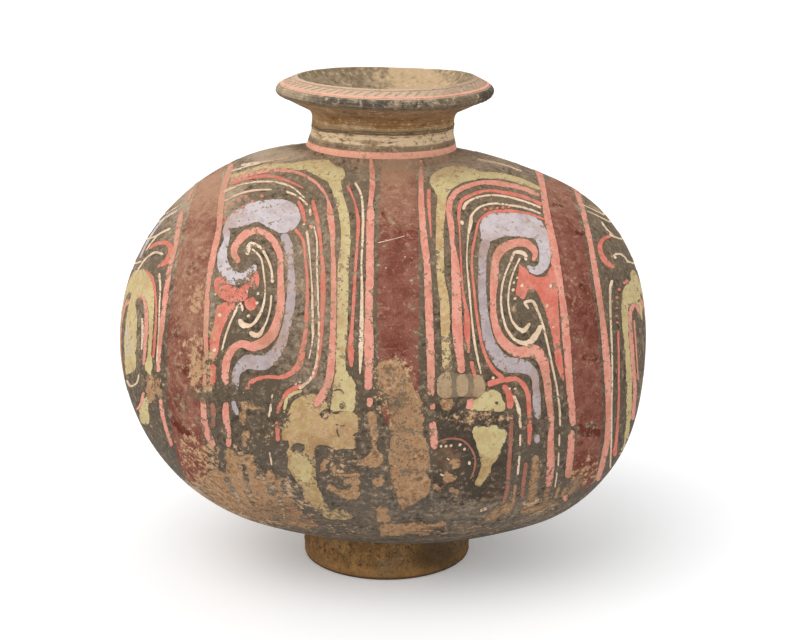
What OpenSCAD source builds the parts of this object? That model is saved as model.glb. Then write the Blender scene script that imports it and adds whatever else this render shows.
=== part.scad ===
// Cocoon jar: an ovoid body thrown in two halves and laid on its side,
// with a flared neck and a ring foot luted on. Millimetres, +Z up, long axis along X.
// The origin is on the ground under the middle of the jar's length.

/* [Body] */
// Radius of the body at its seam, where it is widest
girth_r = 116; // [104:0.5:132]
// Length of the left half, from the seam to its round end
left_len = 154; // [135:0.5:185]
// Length of the right half, from the seam to its flatter end
right_len = 145.5; // [125:0.5:165]
// Radius of the long arc over the left half's belly
left_belly_r = 314; // [240:1:400]
// Radius of the long arcs over the right half's belly and across its end
right_belly_r = 256; // [215:1:310]
// Radius of the arc that rounds the right half's shoulder
right_shoulder_r = 84.5; // [60:0.5:95]
// Thickness of the body's wall
wall = 7; // [4:0.25:11]
// Angle by which the long axis leans, right end down
lean = 3.7; // [0:0.1:6]
// Height of the body's lowest wall over the ground, at the seam
body_lift = 11.6; // [8:0.2:20]

/* [Neck] */
// Height of the mouth's edge over the top of the body, at the seam
neck_h = 36.4; // [34:0.2:60]
// How far the neck's axis stands to the right of the seam
neck_offset = -1.8; // [-10:0.1:10]
// Angle by which the neck leans, right side down
neck_lean = 1.6; // [0:0.1:5]
// Radius of the mouth's inner edge, its highest line
mouth_r = 49; // [45:0.5:54]
// Outermost radius of the lip
lip_r = 60.5; // [56:0.5:75]
// Fall of the lip's sloping top, from the inner edge to the outer edge
lip_drop = 4.4; // [1:0.1:6]
// Thickness of the lip's rounded outer edge
lip_thick = 6; // [4:0.2:7]
// Slope of the lip's underside
under_slope = 24; // [15:1:28]
// Radius of the hollow curve between the lip's underside and the neck
under_fillet_r = 6; // [3:0.5:7]
// Outer radius of the neck
neck_r = 39.7; // [38:0.1:43]
// Inner radius of the throat
throat_r = 33; // [26:0.5:34]
// Depth from the mouth's edge to the straight throat
funnel_h = 20; // [16:0.5:22]
// Length of the straight throat
throat_len = 13.5; // [8:0.5:14]
// Radius of the curve from the funnel into the throat
funnel_fillet_r = 13; // [6:0.5:15]
// How far the throat opens out again at its lower end
throat_flare = 0.8; // [0.3:0.1:1.5]

/* [Neck collar] */
// Height of the collar's top edge over the top of the body, at the seam
collar_h = 10; // [8:0.2:11.5]
// Thickness of the collar at its top edge
collar_edge = 1.5; // [1:0.1:2]
// Radius of the collar level with the top of the body
collar_r = 41.5; // [40.5:0.1:46]
// How far the collar spreads below that, where it runs onto the shoulder
collar_flare = 4.5; // [1:0.1:8]
// How far the neck draws in behind the collar
seat_taper = 1.2; // [0.4:0.1:1.8]

/* [Foot] */
// Outermost radius of the foot ring
foot_r = 49.2; // [44:0.2:60]
// How far the foot ring's centre stands to the right of the seam
foot_offset = -1.5; // [-10:0.1:10]
// Wall of the foot ring
foot_wall = 9; // [7:0.2:14]
// How far the foot ring's inside draws in towards the body
foot_taper = 1.5; // [0:0.1:4]
// Radius of the foot ring's barrelled outside, seen from the side
foot_barrel_r = 110; // [70:5:300]
// Height of the foot ring's widest line over the ground
foot_wide_h = 6; // [3:0.5:10]
// Radius of the foot ring's lower edges
foot_edge_r = 1.6; // [0.8:0.1:2.5]

/* [Luting coils] */
// Thickness of the slip layer between luted faces
slip_gap = 0.3; // [0.2:0.05:0.4]
// Half width of the clay coil smeared over the seam inside the body
seam_coil_w = 9; // [5:0.5:12]
// How far that coil stands into the body
seam_coil_h = 3.5; // [2:0.25:5]
// Width of the coil pressed into the corner inside the foot ring
foot_coil_w = 7; // [4:0.5:10]
// How far that coil hangs below the body's lowest wall
foot_coil_drop = 3; // [1:0.2:5]

/* [Hidden] */

$fn = 180;
// Arcs are drawn in steps of this length, and in no fewer than this count
arc_step = 2.5;
arc_least = 8;

// Points in the outlines of turned pieces are [radius, height along the turning axis].
left_end_r = (2 * left_belly_r * girth_r - girth_r ^ 2 - left_len ^ 2) / (2 * (left_belly_r - left_len));
left_belly_c = [girth_r - left_belly_r, 0];
left_end_c = [0, left_len - left_end_r];

right_belly_c = [girth_r - right_belly_r, 0];
right_end_c = [0, right_len - right_belly_r];
right_span = right_end_c - right_belly_c;
right_rise = sqrt((right_belly_r - right_shoulder_r) ^ 2 - (norm(right_span) / 2) ^ 2);
right_aim = [-right_span.y, right_span.x] / norm(right_span);
right_shoulder_c = (right_belly_c + right_end_c) / 2 + right_rise * right_aim;

left_reach = left_end_c.y * cos(lean) + left_end_r;
right_reach = right_end_c.y * cos(lean) + right_belly_r;
seam_x = (left_reach - right_reach) / 2;
axis_z = body_lift + girth_r;
rim_z = axis_z + girth_r + neck_h;
neck_x = seam_x + neck_offset;
foot_x = seam_x + foot_offset;

// Heights in the neck's own frame, whose zero is the mouth's inner edge
body_top = -neck_h;
collar_top = body_top + collar_h;
neck_foot = body_top - 2 * sag(collar_r);
throat_foot = -funnel_h - throat_len;
seat_r = neck_r - collar_edge - slip_gap;

mouth_edge_r = lip_thick / 5;
mouth_c = [mouth_r, -mouth_edge_r];
lip_edge_r = lip_thick / 2;
lip_c = [lip_r - lip_edge_r, -lip_drop - lip_edge_r];
funnel_c = [throat_r + funnel_fillet_r, -funnel_h];
under_aim = under_slope - 90;
under_reach = lip_c.x * cos(under_aim) + lip_c.y * sin(under_aim) + lip_edge_r + under_fillet_r;
under_x = neck_r + under_fillet_r;
under_c = [under_x, (under_reach - under_x * cos(under_aim)) / sin(under_aim)];

foot_top = body_lift + 2 * sag(foot_r);
foot_in_r = foot_r - foot_wall;
barrel_c = [foot_r - foot_barrel_r, foot_wide_h];
foot_edge_x = barrel_c.x + sqrt((foot_barrel_r - foot_edge_r) ^ 2 - (foot_wide_h - foot_edge_r) ^ 2);
foot_edge_c = [foot_edge_x, foot_edge_r];

// How far the body's round section falls away at a distance from its top or bottom line
function sag(r) = girth_r - sqrt(girth_r ^ 2 - r ^ 2);
function bearing(from, to) = atan2(to.y - from.y, to.x - from.x);
function arc_count(r, turn) = max(arc_least, ceil(abs(turn) * PI / 180 * r / arc_step));
function arc(centre, r, from, to) = let (n = arc_count(r, to - from))
    [for (i = [0 : n]) let (t = from + (to - from) * i / n) centre + r * [cos(t), sin(t)]];
function rest(points) = [for (i = [1 : len(points) - 1]) points[i]];
// Bearing of the line that touches two round edges, as seen from their centres
function touch(c1, r1, c2, r2) = bearing(c1, c2) + acos((r1 - r2) / norm(c2 - c1));
function foot_inside(z) = foot_in_r - foot_taper * z / foot_top;

module left_outline(grow) {
    turn = bearing(left_belly_c, left_end_c);
    polygon(concat(
        [[0, 0]],
        arc(left_belly_c, left_belly_r + grow, 0, turn),
        rest(arc(left_end_c, left_end_r + grow, turn, 90))
    ));
}

module right_outline(grow) {
    shoulder_turn = bearing(right_belly_c, right_shoulder_c);
    end_turn = bearing(right_end_c, right_shoulder_c);
    polygon(concat(
        [[0, 0]],
        arc(right_belly_c, right_belly_r + grow, 0, shoulder_turn),
        rest(arc(right_shoulder_c, right_shoulder_r + grow, shoulder_turn, end_turn)),
        rest(arc(right_end_c, right_belly_r + grow, end_turn, 90))
    ));
}

module neck_outline() {
    funnel_turn = touch(funnel_c, funnel_fillet_r, mouth_c, mouth_edge_r);
    lip_turn = touch(mouth_c, mouth_edge_r, lip_c, lip_edge_r);
    polygon(concat(
        [[throat_r + throat_flare, neck_foot], [throat_r, throat_foot]],
        arc(funnel_c, funnel_fillet_r, 180, funnel_turn),
        arc(mouth_c, mouth_edge_r, funnel_turn, lip_turn),
        arc(lip_c, lip_edge_r, lip_turn, under_aim),
        arc(under_c, under_fillet_r, under_aim + 180, 180),
        [[neck_r, collar_top + slip_gap], [seat_r, collar_top + slip_gap], [seat_r - seat_taper, neck_foot]]
    ));
}

module collar_outline() {
    edge_c = [neck_r - collar_edge / 2, collar_top - collar_edge / 2];
    polygon(concat(
        [[seat_r - seat_taper + slip_gap, neck_foot], [seat_r + slip_gap, collar_top]],
        arc(edge_c, collar_edge / 2, 90, 0),
        [[collar_r, body_top], [collar_r + collar_flare, neck_foot]]
    ));
}

module foot_outline() {
    inner_edge_c = [foot_in_r + foot_edge_r, foot_edge_r];
    barrel_turn = bearing(barrel_c, foot_edge_c);
    barrel_end = asin((foot_top - barrel_c.y) / foot_barrel_r);
    polygon(concat(
        arc(inner_edge_c, foot_edge_r, 180, 270),
        arc(foot_edge_c, foot_edge_r, -90, barrel_turn),
        arc(barrel_c, foot_barrel_r, barrel_turn, barrel_end),
        [[foot_inside(foot_top), foot_top]]
    ));
}

module foot_coil_outline() {
    low = body_lift - foot_coil_drop + foot_coil_w / 2;
    out_low = foot_inside(low) - slip_gap;
    out_top = foot_inside(foot_top) - slip_gap;
    polygon(concat(
        arc([out_low - foot_coil_w / 2, low], foot_coil_w / 2, 180, 360),
        [[out_top, foot_top], [out_top - foot_coil_w, foot_top]]
    ));
}

module on_body(turn) {
    translate([seam_x, 0, axis_z]) rotate([0, lean + turn, 0]) children();
}

module on_neck() {
    translate([neck_x, 0, rim_z]) rotate([0, neck_lean, 0]) children();
}

module on_foot() {
    translate([foot_x, 0, 0]) children();
}

// The body as one solid, its outer face moved out by grow
module body_solid(grow) {
    on_body(-90) rotate_extrude() left_outline(grow);
    on_body(90) rotate_extrude() right_outline(grow);
}

// Round hole cut through the top of the body, under the neck
module throat_hole() {
    on_neck() translate([0, 0, body_top - girth_r]) cylinder(h = girth_r + neck_h, r = throat_r + throat_flare);
}

// Left half shell, with the rounder end
module body_left() {
    color("#6b4438") difference() {
        on_body(-90) rotate_extrude() difference() {
            left_outline(0);
            left_outline(-wall);
        }
        throat_hole();
    }
}

// Right half shell, with the flatter end
module body_right() {
    color("#6b4438") difference() {
        on_body(90) rotate_extrude() difference() {
            right_outline(0);
            right_outline(-wall);
        }
        throat_hole();
    }
}

// Clay coil smeared over the seam from inside, open under the neck
module seam_coil() {
    seat = girth_r - wall - slip_gap;
    bead_r = (seam_coil_w ^ 2 + seam_coil_h ^ 2) / (2 * seam_coil_h);
    bead_turn = asin(seam_coil_w / bead_r);
    bead_c = [seat - seam_coil_h + bead_r, 0];
    color("#8a6a4c") difference() {
        on_body(90) rotate_extrude() polygon(arc(bead_c, bead_r, 180 - bead_turn, 180 + bead_turn));
        throat_hole();
    }
}

// Neck with its flared mouth, cut to sit astride the body
module neck() {
    color("#7b6a4c") difference() {
        on_neck() rotate_extrude() neck_outline();
        body_solid(slip_gap);
    }
}

// Coil turned smooth round the foot of the neck
module neck_collar() {
    color("#94805c") difference() {
        on_neck() rotate_extrude() collar_outline();
        body_solid(slip_gap);
    }
}

// Ring that the jar stands on, cut to fit the curve of the belly
module foot_ring() {
    color("#7a5a30") difference() {
        on_foot() rotate_extrude() foot_outline();
        body_solid(slip_gap);
    }
}

// Coil pressed into the corner between the foot ring and the body
module foot_coil() {
    color("#8a6a4c") difference() {
        on_foot() rotate_extrude() foot_coil_outline();
        body_solid(slip_gap);
    }
}

body_left();
body_right();
seam_coil();
neck();
neck_collar();
foot_ring();
foot_coil();
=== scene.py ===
import math
from collections import defaultdict

import bmesh
import bpy
from mathutils import Matrix, Vector, geometry, noise
from mathutils.bvhtree import BVHTree


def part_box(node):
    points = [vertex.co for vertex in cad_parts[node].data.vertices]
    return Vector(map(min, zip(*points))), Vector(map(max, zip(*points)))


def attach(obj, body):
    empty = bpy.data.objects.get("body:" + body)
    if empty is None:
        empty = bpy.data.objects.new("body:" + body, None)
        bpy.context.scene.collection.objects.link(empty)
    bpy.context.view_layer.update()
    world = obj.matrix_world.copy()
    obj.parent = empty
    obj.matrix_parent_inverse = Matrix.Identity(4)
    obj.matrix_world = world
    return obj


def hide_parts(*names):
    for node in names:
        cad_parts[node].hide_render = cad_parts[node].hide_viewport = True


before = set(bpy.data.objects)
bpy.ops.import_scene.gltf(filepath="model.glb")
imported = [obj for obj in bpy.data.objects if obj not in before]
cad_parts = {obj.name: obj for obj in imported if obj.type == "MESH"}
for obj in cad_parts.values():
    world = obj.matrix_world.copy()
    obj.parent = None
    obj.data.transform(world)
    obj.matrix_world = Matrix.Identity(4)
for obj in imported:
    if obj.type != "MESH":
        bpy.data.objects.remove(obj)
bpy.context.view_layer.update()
scene = bpy.context.scene
scene.view_settings.view_transform = "Standard"
mm = 0.001
weld = 0.01 * mm                           # vertices closer than this are merged
sliver = 0.001 * mm                        # edges shorter than this are dissolved
creaseAngle = math.radians(50)             # edges sharper than this aren't shaded smooth

# camera, at the place the photo was taken from
view = {
    "size": (800, 640),                    # photo, pixels
    "focal": 1703.0,                       # focal length, pixels
    "sensor": 36.0,                        # mm
    "eye": Vector((0.01043, -0.945, 0.397)),
    "dip": 0.265,                          # tilt below level, radians
    "jarMiddle": (385, 340),               # photo, pixels
}
viewAhead = Vector((0, math.cos(view["dip"]), -math.sin(view["dip"])))
viewUp = Vector((0, math.sin(view["dip"]), math.cos(view["dip"])))


def addCamera():
    lens = bpy.data.cameras.new("jarCamera")
    lens.sensor_fit = "HORIZONTAL"
    lens.sensor_width = view["sensor"]
    lens.lens = view["sensor"] * view["focal"] / view["size"][0]
    camera = bpy.data.objects.new("jarCamera", lens)
    camera.location = view["eye"]
    camera.rotation_euler = (math.pi / 2 - view["dip"], 0, 0)
    scene.collection.objects.link(camera)
    scene.camera = camera


def pixelRay(x, y):
    across = (x - view["size"][0] / 2) / view["focal"]
    rise = (view["size"][1] / 2 - y) / view["focal"]
    return (viewAhead + Vector((across, 0, 0)) + viewUp * rise).normalized()


def pixelOf(point):
    away = point - view["eye"]
    depth = away.dot(viewAhead)
    x = view["size"][0] / 2 + view["focal"] * away.x / depth
    y = view["size"][1] / 2 - view["focal"] * away.dot(viewUp) / depth
    return x, y


def frontPixel(point):
    return pixelOf(Vector((point.x, -abs(point.y), point.z)))      # the back mirrors the front


addCamera()
print("camera placed")


# small node helpers
def linear(share):
    return share / 12.92 if share <= 0.04045 else ((share + 0.055) / 1.055) ** 2.4


def rgb(*tones):
    return (*(linear(tone / 255) for tone in tones), 1.0)


def put(tree, kind, inputs=None, **settings):
    made = tree.nodes.new(kind)
    for name, value in settings.items():
        setattr(made, name, value)
    for name, value in (inputs or {}).items():
        if isinstance(value, bpy.types.NodeSocket):
            tree.links.new(value, made.inputs[name])
        else:
            made.inputs[name].default_value = value
    return made


def grain(tree, coord, scale, detail, roughness, warp=0.0):
    inputs = {"Vector": coord, "Scale": scale, "Detail": detail, "Roughness": roughness, "Distortion": warp}
    return put(tree, "ShaderNodeTexNoise", inputs).outputs["Fac"]


def stretched(tree, coord, scale, turn=0.0):
    inputs = {"Vector": coord, "Rotation": (0, turn, 0), "Scale": scale}
    return put(tree, "ShaderNodeMapping", inputs).outputs[0]


def sums(tree, operation, a, b):
    return put(tree, "ShaderNodeMath", {0: a, 1: b}, operation=operation).outputs[0]


def times(tree, a, b):
    return sums(tree, "MULTIPLY", a, b)


def swing(tree, pattern, weight):
    return times(tree, sums(tree, "SUBTRACT", pattern, 0.5), weight)


def step(tree, value, low, high):
    inputs = {"Value": value, "From Min": low, "From Max": high}
    return put(tree, "ShaderNodeMapRange", inputs, interpolation_type="SMOOTHSTEP").outputs["Result"]


def partly(tree, value, low, high, share):
    return times(tree, step(tree, value, low, high), share)


def span(tree, value, start, full, fade, end):
    return times(tree, step(tree, value, start, full), step(tree, value, end, fade))


def blendColor(tree, share, a, b):
    inputs = {0: share, 6: a, 7: b}        # the Mix node's colour sockets
    return put(tree, "ShaderNodeMix", inputs, data_type="RGBA").outputs[2]


def glaze(tree, patterns, color, layers, tones, part=None):
    for pattern, low, high, share, tone in layers:
        cover = partly(tree, patterns[pattern], low, high, share)
        if part is not None:
            cover = times(tree, part, cover)
        color = blendColor(tree, cover, color, tones[tone])
    return color


def vertexValue(tree, name):
    return put(tree, "ShaderNodeAttribute", attribute_name=name).outputs["Fac"]


matt = {"roughness": 0.92, "specular": 0.18, "bump": 0.55}


def startMaterial(name):
    material = bpy.data.materials.new(name)
    material.use_nodes = True
    tree = material.node_tree
    shader = tree.nodes["Principled BSDF"]
    shader.inputs["Roughness"].default_value = matt["roughness"]
    shader.inputs["Specular IOR Level"].default_value = matt["specular"]
    return material, tree, shader


def finishMaterial(tree, shader, color, height, relief):
    tree.links.new(color, shader.inputs["Base Color"])
    bump = put(tree, "ShaderNodeBump", {"Height": height, "Strength": matt["bump"], "Distance": relief})
    tree.links.new(bump.outputs["Normal"], shader.inputs["Normal"])


# finishes: dark slip ground over tan clay, mineral paint on it, and the dust of burial
# a layer is: pattern, where it starts, where it is full, how strong, tone
slip = {
    "top": rgb(123, 107, 87), "middle": rgb(96, 84, 69), "low": rgb(101, 92, 82),
    "pale": rgb(160, 139, 114), "pit": rgb(56, 48, 40), "dust": rgb(190, 150, 120),
    "haze": rgb(200, 176, 150), "dirt": rgb(174, 130, 98),
    "clay": rgb(200, 160, 120), "clayDark": rgb(170, 129, 93), "clayPale": rgb(224, 186, 148),
    "heights": (0.06, 0.13, 0.24),         # where the three ground colours sit, m
    "noises": {                            # scale, detail, roughness, warp
        "broad": (34, 8, 0.62), "ragged": (130, 9, 0.7, 0.4), "fine": (380, 5, 0.62),
        "speck": (1250, 4, 0.65), "patchy": (62, 5, 0.6), "smear": (210, 6, 0.6), "scored": (640, 3, 0.5),
    },
    "patches": 0.55,                       # how far the dirt gathers in patches
    "smearStretch": (0.16, 1, 1), "scoreStretch": (0.12, 1, 1), "scoreTurn": 0.35,
    "rubbed": [
        ("ragged", 0.5, 0.7, 0.35, "pale"), ("fine", 0.53, 0.66, 0.6, "pale"),
        ("scored", 0.63, 0.72, 0.35, "pale"), ("speck", 0.58, 0.66, 0.4, "dust"),
    ],
    "streaks": (0.44, 0.64), "streakHeights": (0.085, 0.02), "streakShare": 0.62,      # wiped, over the foot; pale smears that also stand in for light bounced up from the floor, painted
    "pitted": [("dirt", 0.46, 0.3, 0.7, "pit"), ("speck", 0.4, 0.32, 0.4, "pit")],
    "bared": [
        ("ragged", 0.36, 0.64, 1, "clay"), ("fine", 0.53, 0.62, 0.7, "clayPale"),
        ("dirt", 0.46, 0.36, 0.65, "middle"), ("speck", 0.44, 0.36, 0.6, "pit"),
    ],
    "torn": {"ragged": 1.7, "fine": 1.9, "speck": 1.0},                # how each pattern frays a worn place
    "bareFrom": 0.41, "bareTo": 0.6, "dustFray": 0.6, "dustCover": (0.1, 1.1, 0.75),
    "bumps": {"fine": 0.8, "ragged": 0.6}, "flakedDepth": 0.25, "relief": 0.6 * mm,
}


def weathering(tree, attribute, ground, fray=1.0):
    torn = vertexValue(tree, attribute)
    for pattern, weight in slip["torn"].items():
        torn = sums(tree, "ADD", torn, swing(tree, ground[pattern], weight * fray))
    return torn


def groundNodes(tree):
    coord = put(tree, "ShaderNodeTexCoord").outputs["Object"]
    noises = slip["noises"]
    ground = {name: grain(tree, coord, *noises[name]) for name in ("broad", "ragged", "fine", "speck")}
    ground["coord"] = coord
    axes = put(tree, "ShaderNodeSeparateXYZ", {0: coord}).outputs
    ground["along"] = axes["X"]
    ground["height"] = axes["Z"]
    patchy = swing(tree, grain(tree, coord, *noises["patchy"]), slip["patches"])
    ground["dirt"] = sums(tree, "ADD", ground["fine"], patchy)
    scored = stretched(tree, coord, slip["scoreStretch"], slip["scoreTurn"])
    ground["scored"] = grain(tree, scored, *noises["scored"])
    low, middle, top = slip["heights"]
    color = blendColor(tree, step(tree, ground["height"], low, middle), slip["low"], slip["middle"])
    color = blendColor(tree, step(tree, ground["height"], middle, top), color, slip["top"])
    color = glaze(tree, ground, color, slip["rubbed"], slip)
    # pale wiped smears low over the foot: partly dirt, partly painted light bounced up from the floor
    smear = grain(tree, stretched(tree, coord, slip["smearStretch"]), *noises["smear"])
    wiped = step(tree, ground["height"], *slip["streakHeights"])
    wiped = times(tree, step(tree, smear, *slip["streaks"]), wiped)
    color = blendColor(tree, times(tree, wiped, slip["streakShare"]), color, slip["pale"])
    ground["color"] = glaze(tree, ground, color, slip["pitted"], slip)
    ground["clay"] = glaze(tree, ground, slip["clayDark"], slip["bared"], slip)
    bare = weathering(tree, "clay", ground)
    ground["bareMask"] = step(tree, bare, slip["bareFrom"], slip["bareTo"])
    dust = weathering(tree, "dust", ground, slip["dustFray"])
    ground["dust"] = partly(tree, dust, *slip["dustCover"])
    bumps = [times(tree, ground[pattern], share) for pattern, share in slip["bumps"].items()]
    relief = sums(tree, "ADD", *bumps)
    ground["relief"] = sums(tree, "SUBTRACT", relief, times(tree, ground["bareMask"], slip["flakedDepth"]))
    return ground


def age(tree, ground, color, settled="dust"):
    color = blendColor(tree, ground["bareMask"], color, ground["clay"])
    return blendColor(tree, ground["dust"], color, slip[settled])


def slipMaterial(name):
    material, tree, shader = startMaterial(name)
    ground = groundNodes(tree)
    color = age(tree, ground, ground["color"], "haze")
    finishMaterial(tree, shader, color, ground["relief"], slip["relief"])
    return material


painted = {
    "layers": [
        ("ragged", 0.36, 0.58, 1, "light"), ("broad", 0.53, 0.66, 0.4, "dirt"),
        ("dirt", 0.58, 0.68, 0.5, "dirt"), ("fine", 0.4, 0.3, 0.3, "middle"),
        ("speck", 0.37, 0.32, 0.6, "pit"),
    ],
    "lostAt": 0.335, "soft": 0.025,        # where paint is worn through, and how softly
    "nibble": 0.2, "nibblePower": 1.6,     # how its edges wear
    "relief": 0.5 * mm,
}


def lostPaint(tree, ground, wear, nibble=painted["nibble"], soft=painted["soft"]):
    lost = weathering(tree, "bare", ground)
    edge = sums(tree, "POWER", vertexValue(tree, "edge"), painted["nibblePower"])
    lost = sums(tree, "ADD", lost, times(tree, edge, nibble))
    lost = sums(tree, "ADD", lost, wear)
    return step(tree, lost, painted["lostAt"] - soft, painted["lostAt"] + soft)


def paintMaterial(name, light, deep, wear):
    material, tree, shader = startMaterial(name)
    ground = groundNodes(tree)
    color = glaze(tree, ground, deep, painted["layers"], {**slip, "light": light})
    color = blendColor(tree, lostPaint(tree, ground, wear), color, ground["color"])
    finishMaterial(tree, shader, age(tree, ground, color), ground["relief"], painted["relief"])
    return material


flaked = {
    "stain": [("ragged", 0.52, 0.6, 0.4, "dirt")],
    "wear": 0.02, "nibble": 0.34, "soft": 0.07, "relief": 0.8 * mm,
}


def flakeMaterial():
    material, tree, shader = startMaterial("bareTanClay")
    ground = groundNodes(tree)
    color = glaze(tree, ground, ground["clay"], flaked["stain"], slip)
    lost = lostPaint(tree, ground, flaked["wear"], flaked["nibble"], flaked["soft"])
    color = blendColor(tree, lost, color, ground["color"])
    finishMaterial(tree, shader, color, ground["relief"], flaked["relief"])
    return material


maroon = {
    "deep": rgb(122, 68, 56), "light": rgb(150, 96, 81), "faded": rgb(186, 144, 118),
    "blot": rgb(104, 36, 24), "scuff": rgb(190, 142, 116),
    "laid": [("ragged", 0.36, 0.62, 1, "light"), ("height", 0.206, 0.246, 0.75, "faded")],
    "blots": (0.56, 0.62), "blotEdge": (0.4, 0.55), "blotShare": 0.6,
    "scuffed": [
        ("scored", 0.63, 0.72, 0.3, "scuff"), ("dirt", 0.57, 0.67, 0.6, "scuff"),
        ("speck", 0.6, 0.68, 0.5, "scuff"), ("speck", 0.45, 0.36, 0.4, "pit"),
    ],
    "wear": -0.06,
}


def maroonMaterial():
    material, tree, shader = startMaterial("maroonPaint")
    ground = groundNodes(tree)
    tones = {**slip, **maroon}
    color = glaze(tree, ground, maroon["deep"], maroon["laid"], tones)
    blots = step(tree, ground["broad"], *maroon["blots"])
    blots = times(tree, blots, step(tree, ground["fine"], *maroon["blotEdge"]))
    color = blendColor(tree, times(tree, blots, maroon["blotShare"]), color, maroon["blot"])
    color = glaze(tree, ground, color, maroon["scuffed"], tones)
    color = blendColor(tree, lostPaint(tree, ground, maroon["wear"]), color, ground["color"])
    finishMaterial(tree, shader, age(tree, ground, color), ground["relief"], painted["relief"])
    return material


# zones down the neck and collar, written on their vertices for the material
zones = {
    "inside": 0.0, "lipTop": 0.25, "lipSide": 0.45, "under": 0.65, "neck": 0.9,
    "ridge": 1.14, "band": 1.34, "bandEdge": 1.44, "hem": 1.54, "slip": 1.74,
}

# neck: olive-tan clay, turned, with a slate lip side and a cream band over the ring
neckTones = {
    "inside": rgb(142, 124, 99), "insideMid": rgb(168, 147, 118), "insidePale": rgb(218, 188, 148),
    "lipTop": rgb(214, 188, 161), "lipShade": rgb(166, 146, 122), "under": rgb(150, 120, 88),
    "lipSide": rgb(92, 85, 76), "sidePale": rgb(176, 154, 128), "sideOlive": rgb(146, 128, 100),
    "sideDark": rgb(58, 54, 48), "neck": rgb(150, 113, 72), "neckPale": rgb(206, 172, 128),
    "ridge": rgb(172, 140, 100), "band": rgb(238, 210, 172), "hem": rgb(150, 128, 102),
    "cream": rgb(244, 216, 178), "line": rgb(80, 60, 43),
    "starts": {
        "lipTop": 0.1, "lipSide": 0.3, "under": 0.5, "neck": 0.7, "ridge": 1.02, "band": 1.22, "hem": 1.42,
    },
    "slipStart": 1.62, "outsideStart": 0.35, "blend": 0.1,
    "spans": {                             # zone where each part starts, is full, fades and ends
        "lip": (0.1, 0.2, 0.3, 0.4), "side": (0.3, 0.4, 0.5, 0.6),
        "stem": (0.55, 0.75, 1.02, 1.12), "band": (1.12, 1.3, 1.4, 1.5),
    },
    "rings": (16, 6, 0.75), "ringSway": 0.3, "ringBump": 0.8, "ringFray": 0.8,
    "wiped": (430, 5, 0.65), "wipeStretch": (0.22, 0.22, 1),
    "mottle": [("dirt", 0.42, 0.6, 1, "insideMid")],
    "patchAt": 0.0185, "patch": (0.026, 0.009, 0.75), "patchFray": 0.09,               # inside the mouth, m
    "shade": [("along", 0.012, 0.045, 0.75, "lipShade")],
    "paleSide": (-0.022, -0.05), "sideWear": (0.53, 0.6, 0.75), "sideShare": 0.85,     # left side is paler, m
    "sideEnd": [("along", 0.02, 0.042, 0.6, "sideOlive"), ("along", 0.05, 0.057, 0.8, "sideDark")],
    "coats": {
        "stem": [("along", -0.022, -0.05, 0.6, "neckPale"), ("broad", 0.5, 0.62, 0.5, "ridge")],
        "band": [("wiped", 0.51, 0.6, 0.7, "neck"), ("scored", 0.42, 0.35, 0.7, "line")],
        "outside": [("flaky", 0.54, 0.68, 0.5, "cream"), ("flaky", 0.45, 0.34, 0.75, "line")],
    },
    "grit": [("fine", 0.42, 0.3, 0.5, "line"), ("fine", 0.56, 0.68, 0.4, "cream")],
    "relief": 0.6 * mm,
}


def neckInside(tree, ground):
    color = glaze(tree, ground, neckTones["inside"], neckTones["mottle"], neckTones)
    away = sums(tree, "SUBTRACT", ground["along"], neckTones["patchAt"])
    away = put(tree, "ShaderNodeMath", {0: away}, operation="ABSOLUTE").outputs[0]
    away = sums(tree, "ADD", away, swing(tree, ground["ragged"], neckTones["patchFray"]))
    return blendColor(tree, partly(tree, away, *neckTones["patch"]), color, neckTones["insidePale"])


def lipSideColor(tree, ground, color):
    left = step(tree, ground["along"], *neckTones["paleSide"])
    rubbed = sums(tree, "MAXIMUM", left, partly(tree, ground["dirt"], *neckTones["sideWear"]))
    color = blendColor(tree, times(tree, rubbed, neckTones["sideShare"]), color, neckTones["sidePale"])
    return glaze(tree, ground, color, neckTones["sideEnd"], neckTones)


def neckMaterial():
    material, tree, shader = startMaterial("turnedNeckClay")
    ground = groundNodes(tree)
    zone = vertexValue(tree, "zone")
    sway = times(tree, ground["broad"], neckTones["ringSway"])
    turned = put(tree, "ShaderNodeCombineXYZ", {"X": vertexValue(tree, "turn"), "Y": sway}).outputs[0]
    rings = grain(tree, turned, *neckTones["rings"])
    ground["flaky"] = sums(tree, "ADD", rings, swing(tree, ground["ragged"], neckTones["ringFray"]))
    around = stretched(tree, ground["coord"], neckTones["wipeStretch"])
    ground["wiped"] = grain(tree, around, *neckTones["wiped"])
    blend = neckTones["blend"]
    outside = neckTones["outsideStart"]
    parts = {name: span(tree, zone, *limits) for name, limits in neckTones["spans"].items()}
    parts["outside"] = step(tree, zone, outside, outside + blend)
    color = neckInside(tree, ground)
    for tone, start in neckTones["starts"].items():
        color = blendColor(tree, step(tree, zone, start, start + blend), color, neckTones[tone])
    color = glaze(tree, ground, color, neckTones["shade"], neckTones, parts["lip"])
    color = blendColor(tree, parts["side"], color, lipSideColor(tree, ground, color))
    for part, layers in neckTones["coats"].items():
        color = glaze(tree, ground, color, layers, neckTones, parts[part])
    color = glaze(tree, ground, color, neckTones["grit"], neckTones)
    collarFoot = step(tree, zone, neckTones["slipStart"], neckTones["slipStart"] + blend)
    color = blendColor(tree, collarFoot, color, age(tree, ground, ground["color"]))
    relief = sums(tree, "ADD", ground["relief"], times(tree, rings, neckTones["ringBump"]))
    finishMaterial(tree, shader, color, relief, neckTones["relief"])
    return material


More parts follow.
